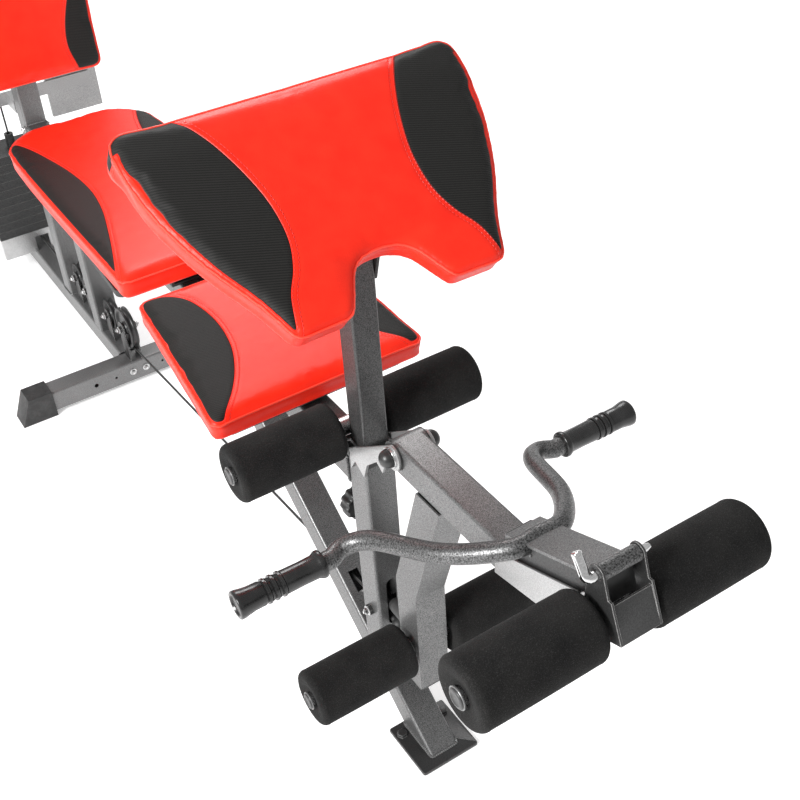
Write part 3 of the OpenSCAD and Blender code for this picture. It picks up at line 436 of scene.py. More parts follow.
def board_black(name):
    """Black-faced fibreboard: faint fibres and dust."""
    f = Finish(name)
    fibre = f.noise(1.2, 4.0, 0.7, squash=(0.25, 1, 1))
    f.set(Base_Color=f.ramp(fibre, (0.3, 0.012), (0.7, 0.04)))
    f.set(Roughness=f.ramp(fibre, (0.3, 0.75), (0.7, 0.55)))
    f.bump(fibre, 0.15)
    return f.material


def cast_iron(name):
    """Painted cast plates: orange-peel black with dull edges."""
    f = Finish(name)
    peel = f.noise(2.4, 3.0)
    worn = f.sum("MINIMUM", f.sum("MULTIPLY", f.edge(1.0), f.noise(4, 3.0)), 0.5)
    f.set(Base_Color=f.blend(worn, f.ramp(peel, (0.3, 0.016), (0.7, 0.05)), (0.3, 0.29, 0.28)))
    f.set(Metallic=0.4, Roughness=f.ramp(peel, (0.3, 0.6), (0.7, 0.42)))
    f.bump(peel, 0.3)
    return f.material


HAMMER = hammer_paint("hammer grey", 0.06, 0.27, 1.3, metal=0.6, relief=0.12)
SILVER = hammer_paint("silver paint", 0.28, 0.50, 1.2, metal=0.7, rough=0.36, relief=0.06)
SATIN_GREY = hammer_paint("satin grey paint", 0.15, 0.29, 1.2, metal=0.6, rough=0.4, relief=0.05)
GUNMETAL = hammer_paint("coarse hammer grey", 0.01, 0.24, 1.9, metal=0.7, rough=0.36, relief=0.3)
# A darker copy of the hammer grey: painted shade for the preacher post under the preacher pad.
HAMMER_IN_SHADE = hammer_paint("hammer grey painted in shade", 0.02, 0.13, 1.3, metal=0.5, rough=0.4, relief=0.14)
SATIN_BLACK = hammer_paint("satin black steel", 0.020, 0.045, 1.6, metal=0.25, rough=0.42, relief=0.05,
                           worn=0.7)
ZINC = bare_steel("zinc plate", 0.72, 0.28)
CHROME = bare_steel("bright chrome", 0.88, 0.09, (0.2, 1, 1))
PLASTIC = moulded("black plastic", 0.014, 0.36)
RUBBER = moulded("black rubber", 0.018, 0.55, 1.3, 0.09, 0.03)
GRIP = moulded("glossy grip rubber", 0.008, 0.24, 1.6, 0.02, 0.012)
FOAM = closed_foam("black foam")
COVER = pad_cover("stitched cover")
RED_CORD = thread("red cord", (0.86, 0.05, 0.025))
RED_THREAD = thread("red thread", (0.70, 0.03, 0.02))
BOARD = board_black("black board")
IRON = cast_iron("painted iron")

CAD_FINISHES = {
    HAMMER: ("front_leg", "front_post", "main_beam", "middle_strut", "lever_arm", "lever_top_plate",
             "hanging_tube"),
    # The preacher post takes the darker copy of the hammer grey as painted shade from the pad above.
    HAMMER_IN_SHADE: ("preacher_post",),
    SATIN_GREY: ("floor_rail", "middle_stabilizer", "rear_stabilizer", "rear_column", "top_beam"),
    SILVER: ("shroud_panels",),
    SATIN_BLACK: ("lever_slider",),
    ZINC: ("selector_pin", "guide_rods"),
    GUNMETAL: ("pin_sleeve",),
    PLASTIC: ("post_collar", "lever_plugs", "pivot_bushings"),
    BOARD: ("preacher_board", "middle_seat_frame", "backrest_frame", "seat_frame"),
}


def box_of(node):
    """The low and high corners of a node's box, in millimetres."""
    return [np.array(corner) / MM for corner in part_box(node)]


def body_of_node(node):
    """The body that a node belongs to."""
    return next(b for b, nodes in frame["record"]["behaviour"]["bodies"].items() if node in nodes)


def finish_cad_nodes():
    """Gives every node that stays its own finish."""
    for material, nodes in CAD_FINISHES.items():
        for node in nodes:
            mesh = frame["nodes"][node].data
            mesh.materials.clear()
            mesh.materials.append(material)


# ---------- stage, lights and camera ----------

def make_stage():
    """A pale floor, a strong light on the left, one behind and a white sky."""
    mesh = bpy.data.meshes.new("floor")
    reach = 14.0
    mesh.from_pydata([(-reach, -reach, -0.001), (reach, -reach, -0.001), (reach, reach, -0.001),
                      (-reach, reach, -0.001)], [], [(0, 1, 2, 3)])
    f = Finish("pale floor")
    f.set(Base_Color=f.ramp(f.noise(400, 2.0), (0.3, 0.86), (0.7, 0.9)), Roughness=0.7)
    f.set(Emission_Color=(1.0, 1.0, 1.0, 1.0), Emission_Strength=0.35)
    mesh.materials.append(f.material)
    floor = bpy.data.objects.new("floor", mesh)
    scene.collection.objects.link(floor)
    world = bpy.data.worlds.new("studio")
    world.use_nodes = True
    sky = world.node_tree.nodes["Background"]
    sky.inputs["Color"].default_value = (1.0, 1.0, 1.0, 1)
    sky.inputs["Strength"].default_value = 0.55
    scene.world = world
    soft_box("key light", (-2.9, -0.5, 2.3), (0, 0.4, 0.6), 1.2, 190)
    soft_box("rim light", (1.2, 3.4, 3.4), (0, 0.6, 0.7), 1.8, 90)
    scene.view_settings.view_transform = "Standard"


def soft_box(name, place, target, size, power):
    """A square area light at place that faces target."""
    lamp = bpy.data.lights.new(name, "AREA")
    lamp.size = size
    lamp.energy = power
    box = bpy.data.objects.new(name, lamp)
    box.location = place
    box.rotation_euler = (Vector(target) - Vector(place)).to_track_quat("-Z", "Y").to_euler()
    scene.collection.objects.link(box)


def make_camera():
    """A camera in front, to the left and above, that looks down at the lever end."""
    azimuth, elevation, roll = (math.radians(a) for a in (-30.4, 37.7, -4.1))
    back = Vector((math.sin(azimuth) * math.cos(elevation), -math.cos(azimuth) * math.cos(elevation),
                   math.sin(elevation)))
    level = Vector((math.cos(azimuth), math.sin(azimuth), 0))
    upright = back.cross(level)
    right = math.cos(roll) * level + math.sin(roll) * upright
    up = math.cos(roll) * upright - math.sin(roll) * level
    lens = bpy.data.cameras.new("camera")
    lens.sensor_width = 36
    lens.lens = 51.85
    camera = bpy.data.objects.new("camera", lens)
    turn = Matrix((right, up, back)).transposed().to_4x4()
    camera.matrix_world = Matrix.Translation((-0.590, -0.9763, 1.5763)) @ turn
    scene.collection.objects.link(camera)
    scene.camera = camera


# ---------- pads ----------

class PadPlan:
    """Where a pad lies and how it is cut: its front edge, slope, outline and seam line.

    Places on a pad are (across, along, out): across the bench, along the pad from its front
    edge, and out of its top face.
    """

    def __init__(self, node, origin, slope, half, thick, seam, roll=0.0):
        a = math.radians(slope)
        self.node = node
        self.origin = np.array(origin, float)
        self.axes = np.array([(1, 0, 0), (0, math.cos(a), math.sin(a)), (0, -math.sin(a), math.cos(a))])
        self.outline = mirrored_loop(half)
        self.length = self.outline[:, 1].max()
        self.thick = thick
        self.seam = curve_through(seam, 16)
        self.roll = roll

    def to_world(self, places):
        """Origin + across, along and out times the pad's three axes."""
        return self.origin + places @ self.axes

    def to_pad(self, points):
        """The way back from to_world: each point's part along each of the pad's axes."""
        return (points - self.origin) @ self.axes.T

    def inset(self, distance):
        """The outline moved in by a distance."""
        ahead = unit(np.roll(self.outline, -1, 0) - np.roll(self.outline, 1, 0))
        inward = np.stack([-ahead[:, 1], ahead[:, 0]], -1)
        return self.outline + inward * distance

    def past_seam(self, places):
        """Distance past the seam towards the pad's side; negative on the red middle.

        It is the distance across, divided by the square root of 1 + the seam's lean squared.
        """
        along, half = self.seam[:, 1], self.seam[:, 0]
        seam_half = np.interp(places[:, 1], along, half)
        lean = np.interp(places[:, 1], along, np.gradient(half, along))
        return (np.abs(places[:, 0]) - seam_half) / np.sqrt(1 + lean**2)


SWELL = 5.0
EDGE_ROUND = 9.0
SEAM_DROP = 6.0
THREAD_ROWS = (-1.6, -7.0)


def pad_shell(plan):
    """The pad before it is stuffed: rings round the outline, from the middle of the top to the
    middle of the underside. Top and underside rings shrink towards the pad's middle, and the
    edge rings follow a quarter circle."""
    start = SWELL * 0.45
    quarter = np.linspace(0, math.pi / 2, 6)
    shrink = np.linspace(0.04, 1, 16)
    rim = plan.inset(start + EDGE_ROUND)
    middle = rim.mean(0)
    top = -SWELL * 0.8
    rings = [np.c_[middle + k * (rim - middle), np.full(len(rim), top)] for k in shrink]
    for a in quarter[1:]:
        ring = plan.inset(start + EDGE_ROUND * (1 - math.sin(a)))
        rings.append(np.c_[ring, np.full(len(ring), top - EDGE_ROUND * (1 - math.cos(a)))])
    low = -plan.thick
    for a in quarter[::-1]:
        ring = plan.inset(start + 3 + EDGE_ROUND * (1 - math.sin(a)))
        rings.append(np.c_[ring, np.full(len(ring), low + EDGE_ROUND * (1 - math.cos(a)))])
    under = plan.inset(start + 3 + EDGE_ROUND)
    rings += [np.c_[middle + k * (under - middle), np.full(len(under), low)] for k in shrink[::-1][1:]]
    grid = np.array(rings)
    deeper = np.clip((grid[..., 1] - plan.length + 64) / 50, 0, 1)
    grid[..., 2] -= plan.roll * deeper**2 * (3 - 2 * deeper) * np.clip(-grid[..., 2] / plan.thick, 0, 1)
    points, quads, threes = grid_part(grid)
    return plan.to_world(points), quads, threes


def mesh_points(mesh):
    """All points of a mesh as rows, in metres."""
    flat = np.empty(len(mesh.vertices) * 3, np.float32)
    mesh.vertices.foreach_get("co", flat)
    return flat.reshape(-1, 3).astype(float)


def set_points(mesh, points):
    """Puts rows of points, in metres, into a mesh."""
    mesh.vertices.foreach_set("co", np.asarray(points, np.float32).ravel())
    mesh.update()


def as_made(piece):
    """A mesh of the piece with its modifiers worked in."""
    bpy.context.view_layer.update()
    done = piece.evaluated_get(bpy.context.evaluated_depsgraph_get())
    return bpy.data.meshes.new_from_object(done)


def stuff(piece, plan):
    """Blows the cover up as cloth under pressure; each point moves at most about SWELL.

    A move of length d becomes SWELL times tanh(d / SWELL), and fades out towards the underside,
    which rests on its board.
    """
    before = mesh_points(piece.data)
    cloth = piece.modifiers.new("stuffing", "CLOTH")
    cloth.settings.quality = 5
    cloth.settings.tension_stiffness = 12
    cloth.settings.compression_stiffness = 12
    cloth.settings.bending_stiffness = 2
    cloth.settings.use_pressure = True
    cloth.settings.uniform_pressure_force = 4
    cloth.settings.effector_weights.gravity = 0
    for number in range(1, 21):
        scene.frame_set(number)
    blown = as_made(piece)
    move = mesh_points(blown) - before
    piece.modifiers.remove(cloth)
    scene.frame_set(1)
    size = np.linalg.norm(move, axis=1, keepdims=True)
    limit = SWELL * MM
    move *= limit * np.tanh(size / limit) / np.maximum(size, 1e-9)
    out = plan.to_pad(before / MM)[:, 2]
    hold = np.clip((out + plan.thick) / 14, 0, 1)[:, None]
    return before + move * hold


def sew(plan, points):
    """Draws the cover in along the panel seams and under the top edge, by up to 1.2 millimetres.

    The depth is a bell, e to the minus square of the distance from the line over its width.
    """
    places = plan.to_pad(points / MM)
    on_top = np.clip((places[:, 2] + SEAM_DROP + 6) / 6, 0, 1)
    past = plan.past_seam(places)
    bell = np.exp(-(past / 2.6)**2) + 0.5 * np.exp(-((past + 7) / 2.4)**2)
    places[:, 2] -= 1.1 * bell * on_top
    rim = np.exp(-((places[:, 2] + SEAM_DROP) / 2.4)**2)
    towards = unit(places[:, :2] - np.array([0, plan.length / 2]))
    reach = np.abs(places[:, :2] - np.array([0, plan.length / 2])).max(1) > plan.length * 0.2
    places[:, :2] -= towards * (1.2 * rim * reach)[:, None]
    return plan.to_world(places) * MM


def write_cover_maps(mesh, plan):
    """Stores each point's place on the pad, and how far past the panel seam it lies.

    A panel stops under the top edge, except at the back of the preacher pad, where it goes
    over the roll.
    """
    places = plan.to_pad(mesh_points(mesh) / MM)
    past = plan.past_seam(places)
    down_to = places[:, 2] + SEAM_DROP
    if plan.roll:
        over_roll = np.minimum(places[:, 1] - (plan.length - 30), places[:, 2] + plan.thick)
        down_to = np.maximum(down_to, over_roll)
    past = np.minimum(past, down_to)
    panel = mesh.attributes.new("panel", "FLOAT", "POINT")
    panel.data.foreach_set("value", (past * MM).astype(np.float32))
    lay = mesh.attributes.new("lay", "FLOAT_VECTOR", "POINT")
    lay.data.foreach_set("vector", (places * MM).astype(np.float32).ravel())


def on_cover(surface, plan, places):
    """The points of a line on the pad's top, dropped on to the cover along the pad's out axis."""
    down = Vector(-plan.axes[2])
    starts = plan.to_world(np.c_[places, np.full(len(places), 60.0)]) * MM
    hits = [surface.ray_cast(Vector(p), down) for p in starts]
    return [(np.array(h[0]) / MM, np.array(h[1])) for h in hits if h[0] is not None]


def beside_cover(surface, plan, places):
    """The nearest points on the cover to the given places on the pad."""
    hits = [surface.find_nearest(Vector(p)) for p in plan.to_world(places) * MM]
    return np.array([h[0] for h in hits]) / MM, np.array([h[1] for h in hits])


def stitch_parts(line, normals, pitch=5.2, length=3.7, thick=0.55):
    """Stitches along a line, one to each pitch, half sunk in the cover.

    Each is a short bead whose radius is thick times the square root of 1 - t squared, with t from
    -1 to 1 along it.
    """
    total = np.linalg.norm(np.diff(line, axis=0), axis=1).sum()
    count = int(total / pitch)
    both = evenly(np.c_[line, normals], count)
    at, out = both[:, :3], unit(both[:, 3:])
    heading = unit(np.gradient(at, axis=0))
    side = np.cross(heading, out)
    t = np.linspace(-1, 1, 5)
    fat = np.sqrt(np.clip(1 - t**2, 0.08, 1)) * thick
    a = np.arange(6) * TURN / 6
    step = (t * length / 2)[None, :, None, None] * heading[:, None, None]
    side, proud = side[:, None, None], out[:, None, None]
    ring = np.cos(a)[None, None, :, None] * side + np.sin(a)[None, None, :, None] * proud
    grids = at[:, None, None] + 0.25 * proud + step + fat[None, :, None, None] * ring
    return [grid_part(g) for g in grids]


def make_pad(plan):
    """A stuffed pad with its panels, its piping and its rows of stitches."""
    body = body_of_node(plan.node)
    shell = make_piece(plan.node + "_shell", [pad_shell(plan)], COVER, body)
    remesh = shell.modifiers.new("weave", "REMESH")
    remesh.mode = "VOXEL"
    remesh.voxel_size = 5 * MM
    mesh = as_made(shell)
    bpy.data.objects.remove(shell)
    cover = bpy.data.objects.new(plan.node + "_cover", mesh)
    scene.collection.objects.link(cover)
    points = stuff(cover, plan)
    set_points(mesh, points)
    finer = cover.modifiers.new("finer", "SUBSURF")
    finer.levels = 1
    finer.render_levels = 1
    mesh = as_made(cover)
    cover.modifiers.remove(finer)
    cover.data = mesh
    set_points(mesh, sew(plan, mesh_points(mesh)))
    write_cover_maps(mesh, plan)
    mesh.materials.clear()
    mesh.materials.append(COVER)
    mesh.shade_smooth()
    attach(cover, body)
    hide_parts(plan.node)
    trim_pad(plan, cover, body)


def trim_pad(plan, cover, body):
    """Piping round the top edge and two rows of thread beside each panel seam."""
    mesh = cover.data
    polygons = [p.vertices[:] for p in mesh.polygons]
    surface = BVHTree.FromPolygons([v.co[:] for v in mesh.vertices], polygons)
    edge = np.c_[plan.inset(-1), np.full(len(plan.outline), -SEAM_DROP)]
    line, out = beside_cover(surface, plan, edge)
    piping = swept(line + out * 0.5, 1.5, 8, plan.axes[2], "join")
    make_piece(plan.node + "_piping", [piping], RED_CORD, body)
    threads = []
    seam = evenly(plan.seam, 120)
    slope = unit(np.gradient(seam, axis=0))
    for offset in THREAD_ROWS:
        row = seam + np.stack([slope[:, 1], -slope[:, 0]], -1) * offset
        keep = np.abs(row[:, 0]) < np.interp(row[:, 1], *half_widths(plan)) - 5
        for sign in (-1, 1):
            hits = on_cover(surface, plan, row[keep] * (sign, 1))
            if len(hits) > 4:
                at = np.array([h[0] for h in hits])
                normals = np.array([h[1] for h in hits])
                threads += stitch_parts(at, normals)
    make_piece(plan.node + "_stitches", threads, RED_THREAD, body)


def half_widths(plan):
    """The pad's half-width by distance along it, as (along, half-width) for interpolation."""
    right = plan.outline[plan.outline[:, 0] > 0]
    steps = np.linspace(0, plan.length, 60)
    widths = [right[np.abs(right[:, 1] - s) < 8, 0].max(initial=0) for s in steps]
    return steps, np.array(widths)


FULL = 1000.0
PAD_PLANS = [
    PadPlan("preacher_pad", (0, -12, 852), 35.6,
            [(32, 66, FULL), (56, 26, FULL), (72, 0, 12), (150, 0, 16), (173, 60, FULL), (207, 118, FULL),
             (236, 196, FULL), (246, 262, FULL), (242, 320, 30)], 44,
            [(150, -14), (144, 8), (131, 52), (112, 84), (100, 120), (99, 165), (108, 210), (125, 258),
             (146, 298), (170, 326)], roll=28),
    PadPlan("front_seat_pad", (0, 239, 580), 8.4,
            [(186, 0, 24), (165, 318, 24)], 42,
            [(172, -6), (150, 22), (122, 56), (98, 96), (81, 142), (75, 196), (82, 246), (98, 280), (134, 306),
             (170, 318)]),
    PadPlan("middle_seat_pad", (0, 612, 626), 0,
            [(163, 0, 24), (163, 592, FULL), (141, 652, FULL), (92, 694, 30)], 42,
            [(168, -6), (136, 88), (110, 177), (90, 258), (80, 341), (84, 428), (98, 514), (116, 590),
             (146, 672), (160, 700)]),
    PadPlan("backrest_pad", (0, 1478, 634), 86,
            [(160, 0, 24), (174, 560, 40)], 42,
            [(110, -10), (96, 30), (88, 66), (92, 105), (106, 149), (126, 195), (150, 245), (176, 300),
             (200, 420), (210, 580)]),
]


# ---------- rollers, grips, knob and bar ----------

ROLLER_R = 43.0
ROLLER_LEN = 162.0
ROLLER_X = 34.0
SHAFT_R = 10.05
ROLLERS = ("knee_roller_left", "knee_roller_right", "shin_roller_left", "shin_roller_right", "end_roller_left",
           "end_roller_right")


def make_roller(node):
    """A foam sleeve: a closed profile of bore, dished ends, round shoulders and a full barrel.

    A shoulder is a quarter circle. The barrel's radius falls by 0.4 (t / half the length) squared.
    """
    low, high = box_of(node)
    middle = (low + high) / 2
    half = ROLLER_LEN / 2
    shoulder = 9.0
    inner, lower = half - shoulder, ROLLER_R - shoulder
    side = [(inner + shoulder * math.sin(x), lower + shoulder * math.cos(x))
            for x in np.linspace(0, math.pi / 2, 7)]
    dish = [(half - 1.2, 26), (half - 3.5, 18), (half - 4, SHAFT_R + 1), (half - 5, SHAFT_R)]
    right = side + dish
    barrel = [(t, ROLLER_R - 0.4 * (t / half)**2) for t in np.linspace(-half + 12, half - 12, 9)]
    left = [(-t, r) for t, r in right[::-1]]
    roller = turned(left + barrel + right, middle, (1, 0, 0), 72, "join")
    piece = make_piece(node + "_foam", [roller], FOAM, node, sharp=50)
    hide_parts(node)


def make_shaft(node):
    """A plated rod through two rollers, with keeper washers, and black plugs in grey rings."""
    body = body_of_node(node)
    low, high = box_of(node)
    middle = (low + high) / 2
    reach = high[0]
    keeper = ROLLER_X - 0.6
    inner = 28.7 if node == "end_shaft" else 25.2
    rod_r, washer_r, rim_r, plug_r = SHAFT_R - 0.1, 15, 13.7, 12.1
    rod = turned([(-reach + 3, rod_r), (reach - 3, rod_r)], middle, (1, 0, 0), 40)
    washer = [(inner, 8), (inner, washer_r - 0.6), (inner + 0.6, washer_r), (keeper - 0.6, washer_r),
              (keeper, washer_r - 0.6), (keeper, 8)]
    rim = [(reach - 4.9, 9.5), (reach - 4.9, rim_r - 0.5), (reach - 4.4, rim_r), (reach - 3, rim_r),
           (reach - 2.5, rim_r - 0.5), (reach - 2.5, 12)]
    plug = [(reach - 4.8, 9), (reach - 4.8, plug_r), (reach - 2, plug_r), (reach - 1.2, plug_r - 0.5),
            (reach - 0.6, 10), (reach - 0.5, 8.5), (reach - 1.2, 7.6), (reach - 1.4, 3)]
    sides = (-1, 1)
    steel = [rod] + [turned(washer, middle, (s, 0, 0), 40) for s in sides]
    rims = [turned(rim, middle, (s, 0, 0), 48) for s in sides]
    plugs = [turned(plug, middle, (s, 0, 0), 48) for s in sides]
    if node == "knee_shaft":
        steel.append(turned([(-25, 12), (-25, 13), (25, 13), (25, 12)], middle, (1, 0, 0), 40))
    piece = make_piece(node + "_rod", steel, ZINC, body)
    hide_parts(node)
    make_piece(node + "_rims", rims, SATIN_GREY, body)
    make_piece(node + "_plugs", plugs, PLASTIC, body)


def make_pivot_bolt():
    """The pivot's bolt: a thin washer and a black cap, a quarter ellipse turned, on each side."""
    low, high = box_of("pivot_bolt")
    middle = (low + high) / 2
    reach = high[0]
    inner, outer, brim = 29, 31.7, 34
    washer = [(inner, 8), (inner, 14.6), (inner + 0.5, 15), (outer - 0.5, 15), (outer, 14.6), (outer, 8)]
    dome = [(outer, 8), (outer, 13.4), (brim, 13.4)]
    dome += [(brim + (reach - brim) * math.sin(x), 1 + 11.8 * math.cos(x))
             for x in np.linspace(0, math.pi / 2, 8)]
    steel = [turned([(-reach + 4, 7.9), (reach - 4, 7.9)], middle, (1, 0, 0), 32)]
    steel += [turned(washer, middle, (s, 0, 0), 48) for s in (-1, 1)]
    caps = [turned(dome, middle, (s, 0, 0), 48) for s in (-1, 1)]
    piece = make_piece("pivot_bolt_rod", steel, ZINC, "frame")
    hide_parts("pivot_bolt")
    make_piece("pivot_bolt_caps", caps, PLASTIC, "frame")


BAR_R = 12.5
BAR_BENDS = [(0, -254, 659), (38, -250, 656), (87, -188, 628), (122, -92, 593), (150, -66, 578),
             (172, -72, 575), (184, -72, 575), (296, -72, 575)]
GRIP_R = 15.5
GRIP_LEN = 118.0
GRIP_START = (184, -72, 575)


def make_curl_bar():
    """One bent tube through both halves' bends."""
    bends = [(-x, y, z) for x, y, z in BAR_BENDS[:0:-1]] + BAR_BENDS
    bar = swept(curve_through(bends, 12), BAR_R, 32)
    piece = make_piece("curl_bar_tube", [bar], GUNMETAL, "lever")
    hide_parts("curl_bar")


def make_grips():
    """Rubber grips: a flared collar, a smooth stretch, three grooved bands and a flared, hollow end."""
    groove, band = -1.7, 0.9
    one_band = ((-3.6, -0.2), (-3.2, groove), (-1.9, groove), (-1.5, band), (1.5, band), (1.9, groove),
                (3.2, groove))
    bands = [(x + dx, dr) for x in (58, 68, 78) for dx, dr in one_band]
    collar = [(0, 1.2), (1.2, 2.4), (5, 2.6), (8, 1.2), (11, -0.4), (30, -0.8), (50, -0.4)]
    flare = [(84, 0), (98, 0.2), (106, 1.4), (112, 2.6), (GRIP_LEN - 1.4, 2.8), (GRIP_LEN, 1.6),
             (GRIP_LEN, -1.5), (GRIP_LEN - 2, -3)]
    outside = [(0, BAR_R + 0.4)] + [(t, GRIP_R + dr) for t, dr in collar + bands + flare]
    outside += [(GRIP_LEN - 2.4, 3)]
    parts = [turned(outside, (s * GRIP_START[0], *GRIP_START[1:]), (s, 0, 0), 48) for s in (-1, 1)]
    piece = make_piece("curl_grips_banded", parts, GRIP, "lever", sharp=50)
    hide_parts("curl_grips")


def make_knob():
    """A hand knob: its radius dips at twelve flutes, as R (1 - 0.05 (1 - cos 12a)), with rounded rims."""
    low, high = box_of("lock_knob")
    x, z = (low[0] + high[0]) / 2, (low[2] + high[2]) / 2
    back = high[1]
    profile = np.array([(-72, 4.8), (-42, 4.8), (-41, 11), (-25, 11), (-24, 18), (-23.5, 25), (-21, 27.4),
                        (-12, 28), (-4, 27.6), (-1.2, 25), (0, 20), (-0.5, 8)])
    a = np.arange(144) * TURN / 144
    flute = np.where(profile[:, 1:] > 17, 1 - 0.05 * (1 - np.cos(12 * a)), 1)
    r = profile[:, 1:] * flute
    grid = np.stack([x + r * np.cos(a), np.broadcast_to(back + profile[:, :1], r.shape), z + r * np.sin(a)], -1)
    piece = make_piece("lock_knob_fluted", [grid_part(grid)], PLASTIC, "lock_knob")
    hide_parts("lock_knob")


PIN_AXIS = (-382.0, 722.0)


def make_l_pin():
    """A bent chrome rod with a short bend and domed ends."""
    y, z = PIN_AXIS
    x0 = -41.5
    lean = math.radians(35)
    leg = np.array([0, math.sin(lean), math.cos(lean)])
    reach = np.array([6.0, 10, 16, 24, 32])
    handle = np.array([x0, y, z]) + leg * reach[:, None]
    bend = [(x0 + 1.2, y + 1.6, z + 2.4), (x0 + 6, y, z)]
    path = curve_through(list(handle[::-1]) + bend + [(x0 + 16, y, z), (-x0, y, z)], 8)
    fat = np.full(len(path), 5.9)
    fat[:3] = (3.2, 4.9, 5.7)
    fat[-3:] = (5.7, 4.9, 3.2)
    piece = make_piece("l_pin_bent", [swept(path, fat, 24, (0.3, 0.9, -0.2))], CHROME, "l_pin")
    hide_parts("l_pin")


def make_rubber_stop():
    """A bumper: a flange, a waist and a domed nose."""
    low, high = box_of("rubber_stop")
    length = high[1] - low[1]
    profile = [(0, 15), (3, 15), (4, 12.5), (length - 14, 12), (length - 8, 11), (length - 3, 8.5), (length, 4)]
    centre = ((low[0] + high[0]) / 2, low[1], (low[2] + high[2]) / 2)
    bumper = turned(profile, centre, (0, 1, 0))
    piece = make_piece("rubber_stop_bumper", [bumper], RUBBER, "lever")
    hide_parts("rubber_stop")


# ---------- pulleys and cable ----------

GROOVE = 5.0
CABLE_R = 2.5
CABLE_GAP = 0.4
PULLEYS = ("low_pulley", "front_pulley", "guide_pulley_1", "guide_pulley_2", "guide_pulley_3", "base_pulley",
           "top_pulley_front", "top_pulley_rear")


def make_pulley(node):
    """A grooved wheel: flanges, a round groove, a thin web and a hub with its bore.

    The groove's radius is the wheel's less GROOVE (1 - t to the power 2.6), with t from -1 to 1 across.
    """
    low, high = box_of(node)
    middle = (low + high) / 2
    radius = (high[2] - low[2]) / 2
    half = (high[0] - low[0]) / 2
    groove = [(t * (half - 3), radius - GROOVE * (1 - abs(t)**2.6)) for t in np.linspace(-1, 1, 9)]
    right = [(half - 1, radius), (half, radius - 1), (half, radius - 5), (half - 1, radius - 6.5)]
    if radius > 25:
        right += [(4, radius - 9), (4, 16), (half - 1, 14.5)]
    right += [(half, 13), (half, 6), (half - 0.6, 5.2)]
    left = [(-x, r) for x, r in right[::-1]]
    wheel = turned(left + groove + right, middle, (1, 0, 0), 64, "join")
    piece = make_piece(node + "_wheel", [wheel], PLASTIC, node)
    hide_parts(node)


def arc(centre, radius, start, end, count=16):
    """Points of an arc in the plane of Y and Z, with angles in degrees from +Y towards +Z."""
    a = np.radians(np.linspace(start, end, count))
    return np.c_[np.zeros(count), centre[0] + radius * np.cos(a), centre[1] + radius * np.sin(a)]


def middle_of(node):
    """The middle of a node's box as (along, up), in millimetres."""
    low, high = box_of(node)
    return (low[1:] + high[1:]) / 2


def make_cable():
    """The coated cable from its stop ball, along the rail, over the tower and down to the plates.

    It is one tube along straight runs and a quarter circle round each pulley of the tower.
    """
    low = box_of("cable")[0]
    wheel = box_of("base_pulley")
    proud = CABLE_R + CABLE_GAP
    turn_r = (wheel[1][2] - wheel[0][2]) / 2 - GROOVE + proud
    front, base = middle_of("front_pulley"), middle_of("base_pulley")
    rear, lead = middle_of("top_pulley_rear"), middle_of("top_pulley_front")
    start_z = middle_of("low_pulley")[1] - 20 + GROOVE - proud
    level = base[1] - turn_r
    plates = box_of("weight_plates")[1]
    path = np.concatenate([
        [(0, 84, start_z), (0, 121, start_z), (0, 161, start_z - 3), (0, front[0] - 40, level + 3),
         (0, front[0], level)],
        arc(base, turn_r, -90, 0), arc(rear, turn_r, 0, 90), arc(lead, turn_r, 90, 180),
        [(0, lead[0] - turn_r, plates[2] - 8)]])
    tube = swept(path, CABLE_R, 12, (1, 0, 0))
    ball_r = 11
    ball = [(ball_r * math.sin(t), ball_r * math.cos(t) + 0.02) for t in np.linspace(-1.5, 1.5, 17)]
    stop = turned(ball, (0, low[1] + ball_r, start_z), (0, 1, 0), 32)
    sleeve = [(0, 3), (0, 4.6), (1, 5), (21, 5), (22, 4.6), (22, 3)]
    ferrule = turned(sleeve, (0, low[1] + 21, start_z), (0, 1, 0), 24)
    piece = make_piece("cable_coated", [tube], PLASTIC, "frame")
    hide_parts("cable")
    make_piece("cable_stop_ball", [stop, ferrule], RUBBER, "frame")


# ---------- welds and fasteners ----------

TUBE = 50.0
LEG_SLOPE = 37.5
FOOT_THICK = 6.0


def bead(path, radius=2.2, pitch=3.4, closed=True):
    """A weld bead: a tube whose radius is radius (1 + 0.16 cos a), with a full turn of a each pitch."""
    line = np.asarray(path, float)
    whole = np.concatenate([line, line[:1]]) if closed else line
    total = np.linalg.norm(np.diff(whole, axis=0), axis=1).sum()
    count = max(12, int(total / pitch * 4))
    line = evenly(line, count, closed)
    ripple = radius * (1 + 0.16 * np.cos(np.arange(count) * TURN / 4))
    across = (0.577, 0.577, 0.578)
    return swept(line, ripple, 8, across, "join" if closed else "cap")


def square_path(centre, right, up, half_w, half_h, corner=6.0):
    """A rounded rectangle in space from its middle and its two directions."""
    flat = softened_loop([(half_w, half_h, corner), (-half_w, half_h, corner), (-half_w, -half_h, corner),
                          (half_w, -half_h, corner)], 96)
    centre, right, up = (np.asarray(v, float) for v in (centre, right, up))
    return centre + flat[:, :1] * right + flat[:, 1:] * up


def hex_bolt(place, out, size=6.5, height=5.0):
    """A washer, a six-sided head with a bevelled top and the bolt's end, as turned profiles."""
    axis = unit(out)
    thick = 1.8
    washer = [(0, size * 0.4), (0, size * 1.55), (0.4, size * 1.65), (thick - 0.4, size * 1.65),
              (thick, size * 1.55), (thick, size * 0.4)]
    head = [(thick, size * 0.9), (thick, size * 1.12), (height, size * 1.12), (height + 1.2, size * 0.92)]
    end = [(height, size * 0.5), (height + 3.2, size * 0.5), (height + 3.8, size * 0.38)]
    return [turned(profile, place, axis, sides) for profile, sides in ((washer, 32), (head, 6), (end, 20))]


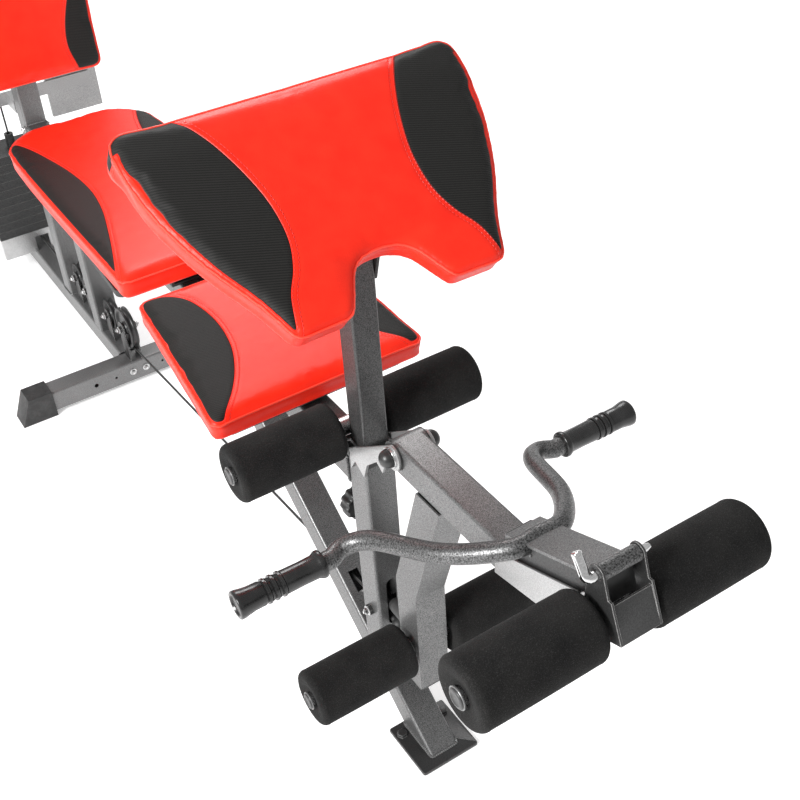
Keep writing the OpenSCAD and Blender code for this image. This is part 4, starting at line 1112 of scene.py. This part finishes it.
def make_welds():
    """Beads where the frame's tubes and the lever's pieces meet."""
    across, along, up = (1, 0, 0), (0, 1, 0), (0, 0, 1)
    half = TUBE / 2 + 0.5
    leg = math.radians(LEG_SLOPE)
    foot = (0, FOOT_THICK / math.tan(leg), FOOT_THICK)
    frame_beads = [bead(square_path(foot, across, along, half, half / math.sin(leg)))]
    for node in ("main_beam", "floor_rail"):
        low, high = box_of(node)
        for y in (low[1], high[1]):
            joint = (0, y, (low[2] + high[2]) / 2)
            frame_beads.append(bead(square_path(joint, across, up, half, TUBE / 2)))
    low, high = box_of("rear_column")
    foot = (0, (low[1] + high[1]) / 2, low[2])
    frame_beads.append(bead(square_path(foot, across, along, half, half)))
    make_piece("frame_welds", frame_beads, HAMMER, "frame")
    bar_y, bar_z = BAR_BENDS[0][1:]
    saddle = [(x, bar_y + s * (BAR_R + 0.5), bar_z - 9) for s in (-1, 1) for x in (-20 * s, 20 * s)]
    make_piece("lever_welds", [bead(saddle, 2.4)], HAMMER, "lever")


def make_bolts():
    """Bolts through the stabilisers, the column and the pulleys' axles."""
    front = box_of("middle_stabilizer")[0]
    back = box_of("rear_stabilizer")[1]
    column = box_of("rear_column")[0][1]
    frame_bolts = []
    for x in (-16, 16):
        frame_bolts += hex_bolt((x, front[1], front[2] + TUBE / 2), (0, -1, 0), 5)
        frame_bolts += hex_bolt((x, back[1], back[2] - TUBE / 2), (0, 1, 0), 5)
    for side in (-1, 1):
        for z in (478, 502):
            frame_bolts += hex_bolt((side * TUBE / 2, column + 15, z), (side, 0, 0), 5)
    for pulley in PULLEYS:
        y, z = middle_of(pulley)
        face = 31.5 if pulley == "low_pulley" else 19.5
        for side in (-1, 1):
            frame_bolts += hex_bolt((side * face, y, z), (side, 0, 0), 5)
    make_piece("frame_bolts", frame_bolts, ZINC, "frame")


EASED = [
    ("front_foot_plate", 1.2, SATIN_BLACK, "dark_steel"),
    ("stabilizer_caps", 3.5, RUBBER, "black_rubber"),
    ("pivot_ears", 0.7, SILVER, "grey_steel"),
    ("lever_saddle", 0.6, SILVER, "grey_steel"),
    ("end_yoke", 1.0, SATIN_BLACK, "dark_steel"),
    ("weight_plates", 1.6, IRON, "iron"),
    ("pulley_brackets", 0.7, SATIN_BLACK, "dark_steel"),
]

finish_cad_nodes()
make_stage()
make_camera()
for plan in PAD_PLANS:
    make_pad(plan)
for roller in ROLLERS:
    make_roller(roller)
for shaft in ("knee_shaft", "shin_shaft", "end_shaft"):
    make_shaft(shaft)
make_pivot_bolt()
for pulley in PULLEYS:
    make_pulley(pulley)
make_curl_bar()
make_grips()
make_knob()
make_l_pin()
make_rubber_stop()
make_cable()
make_welds()
make_bolts()
for node, width, material, finish in EASED:
    eased_edges(node, body_of_node(node), width, material)

scene.frame_set(1)
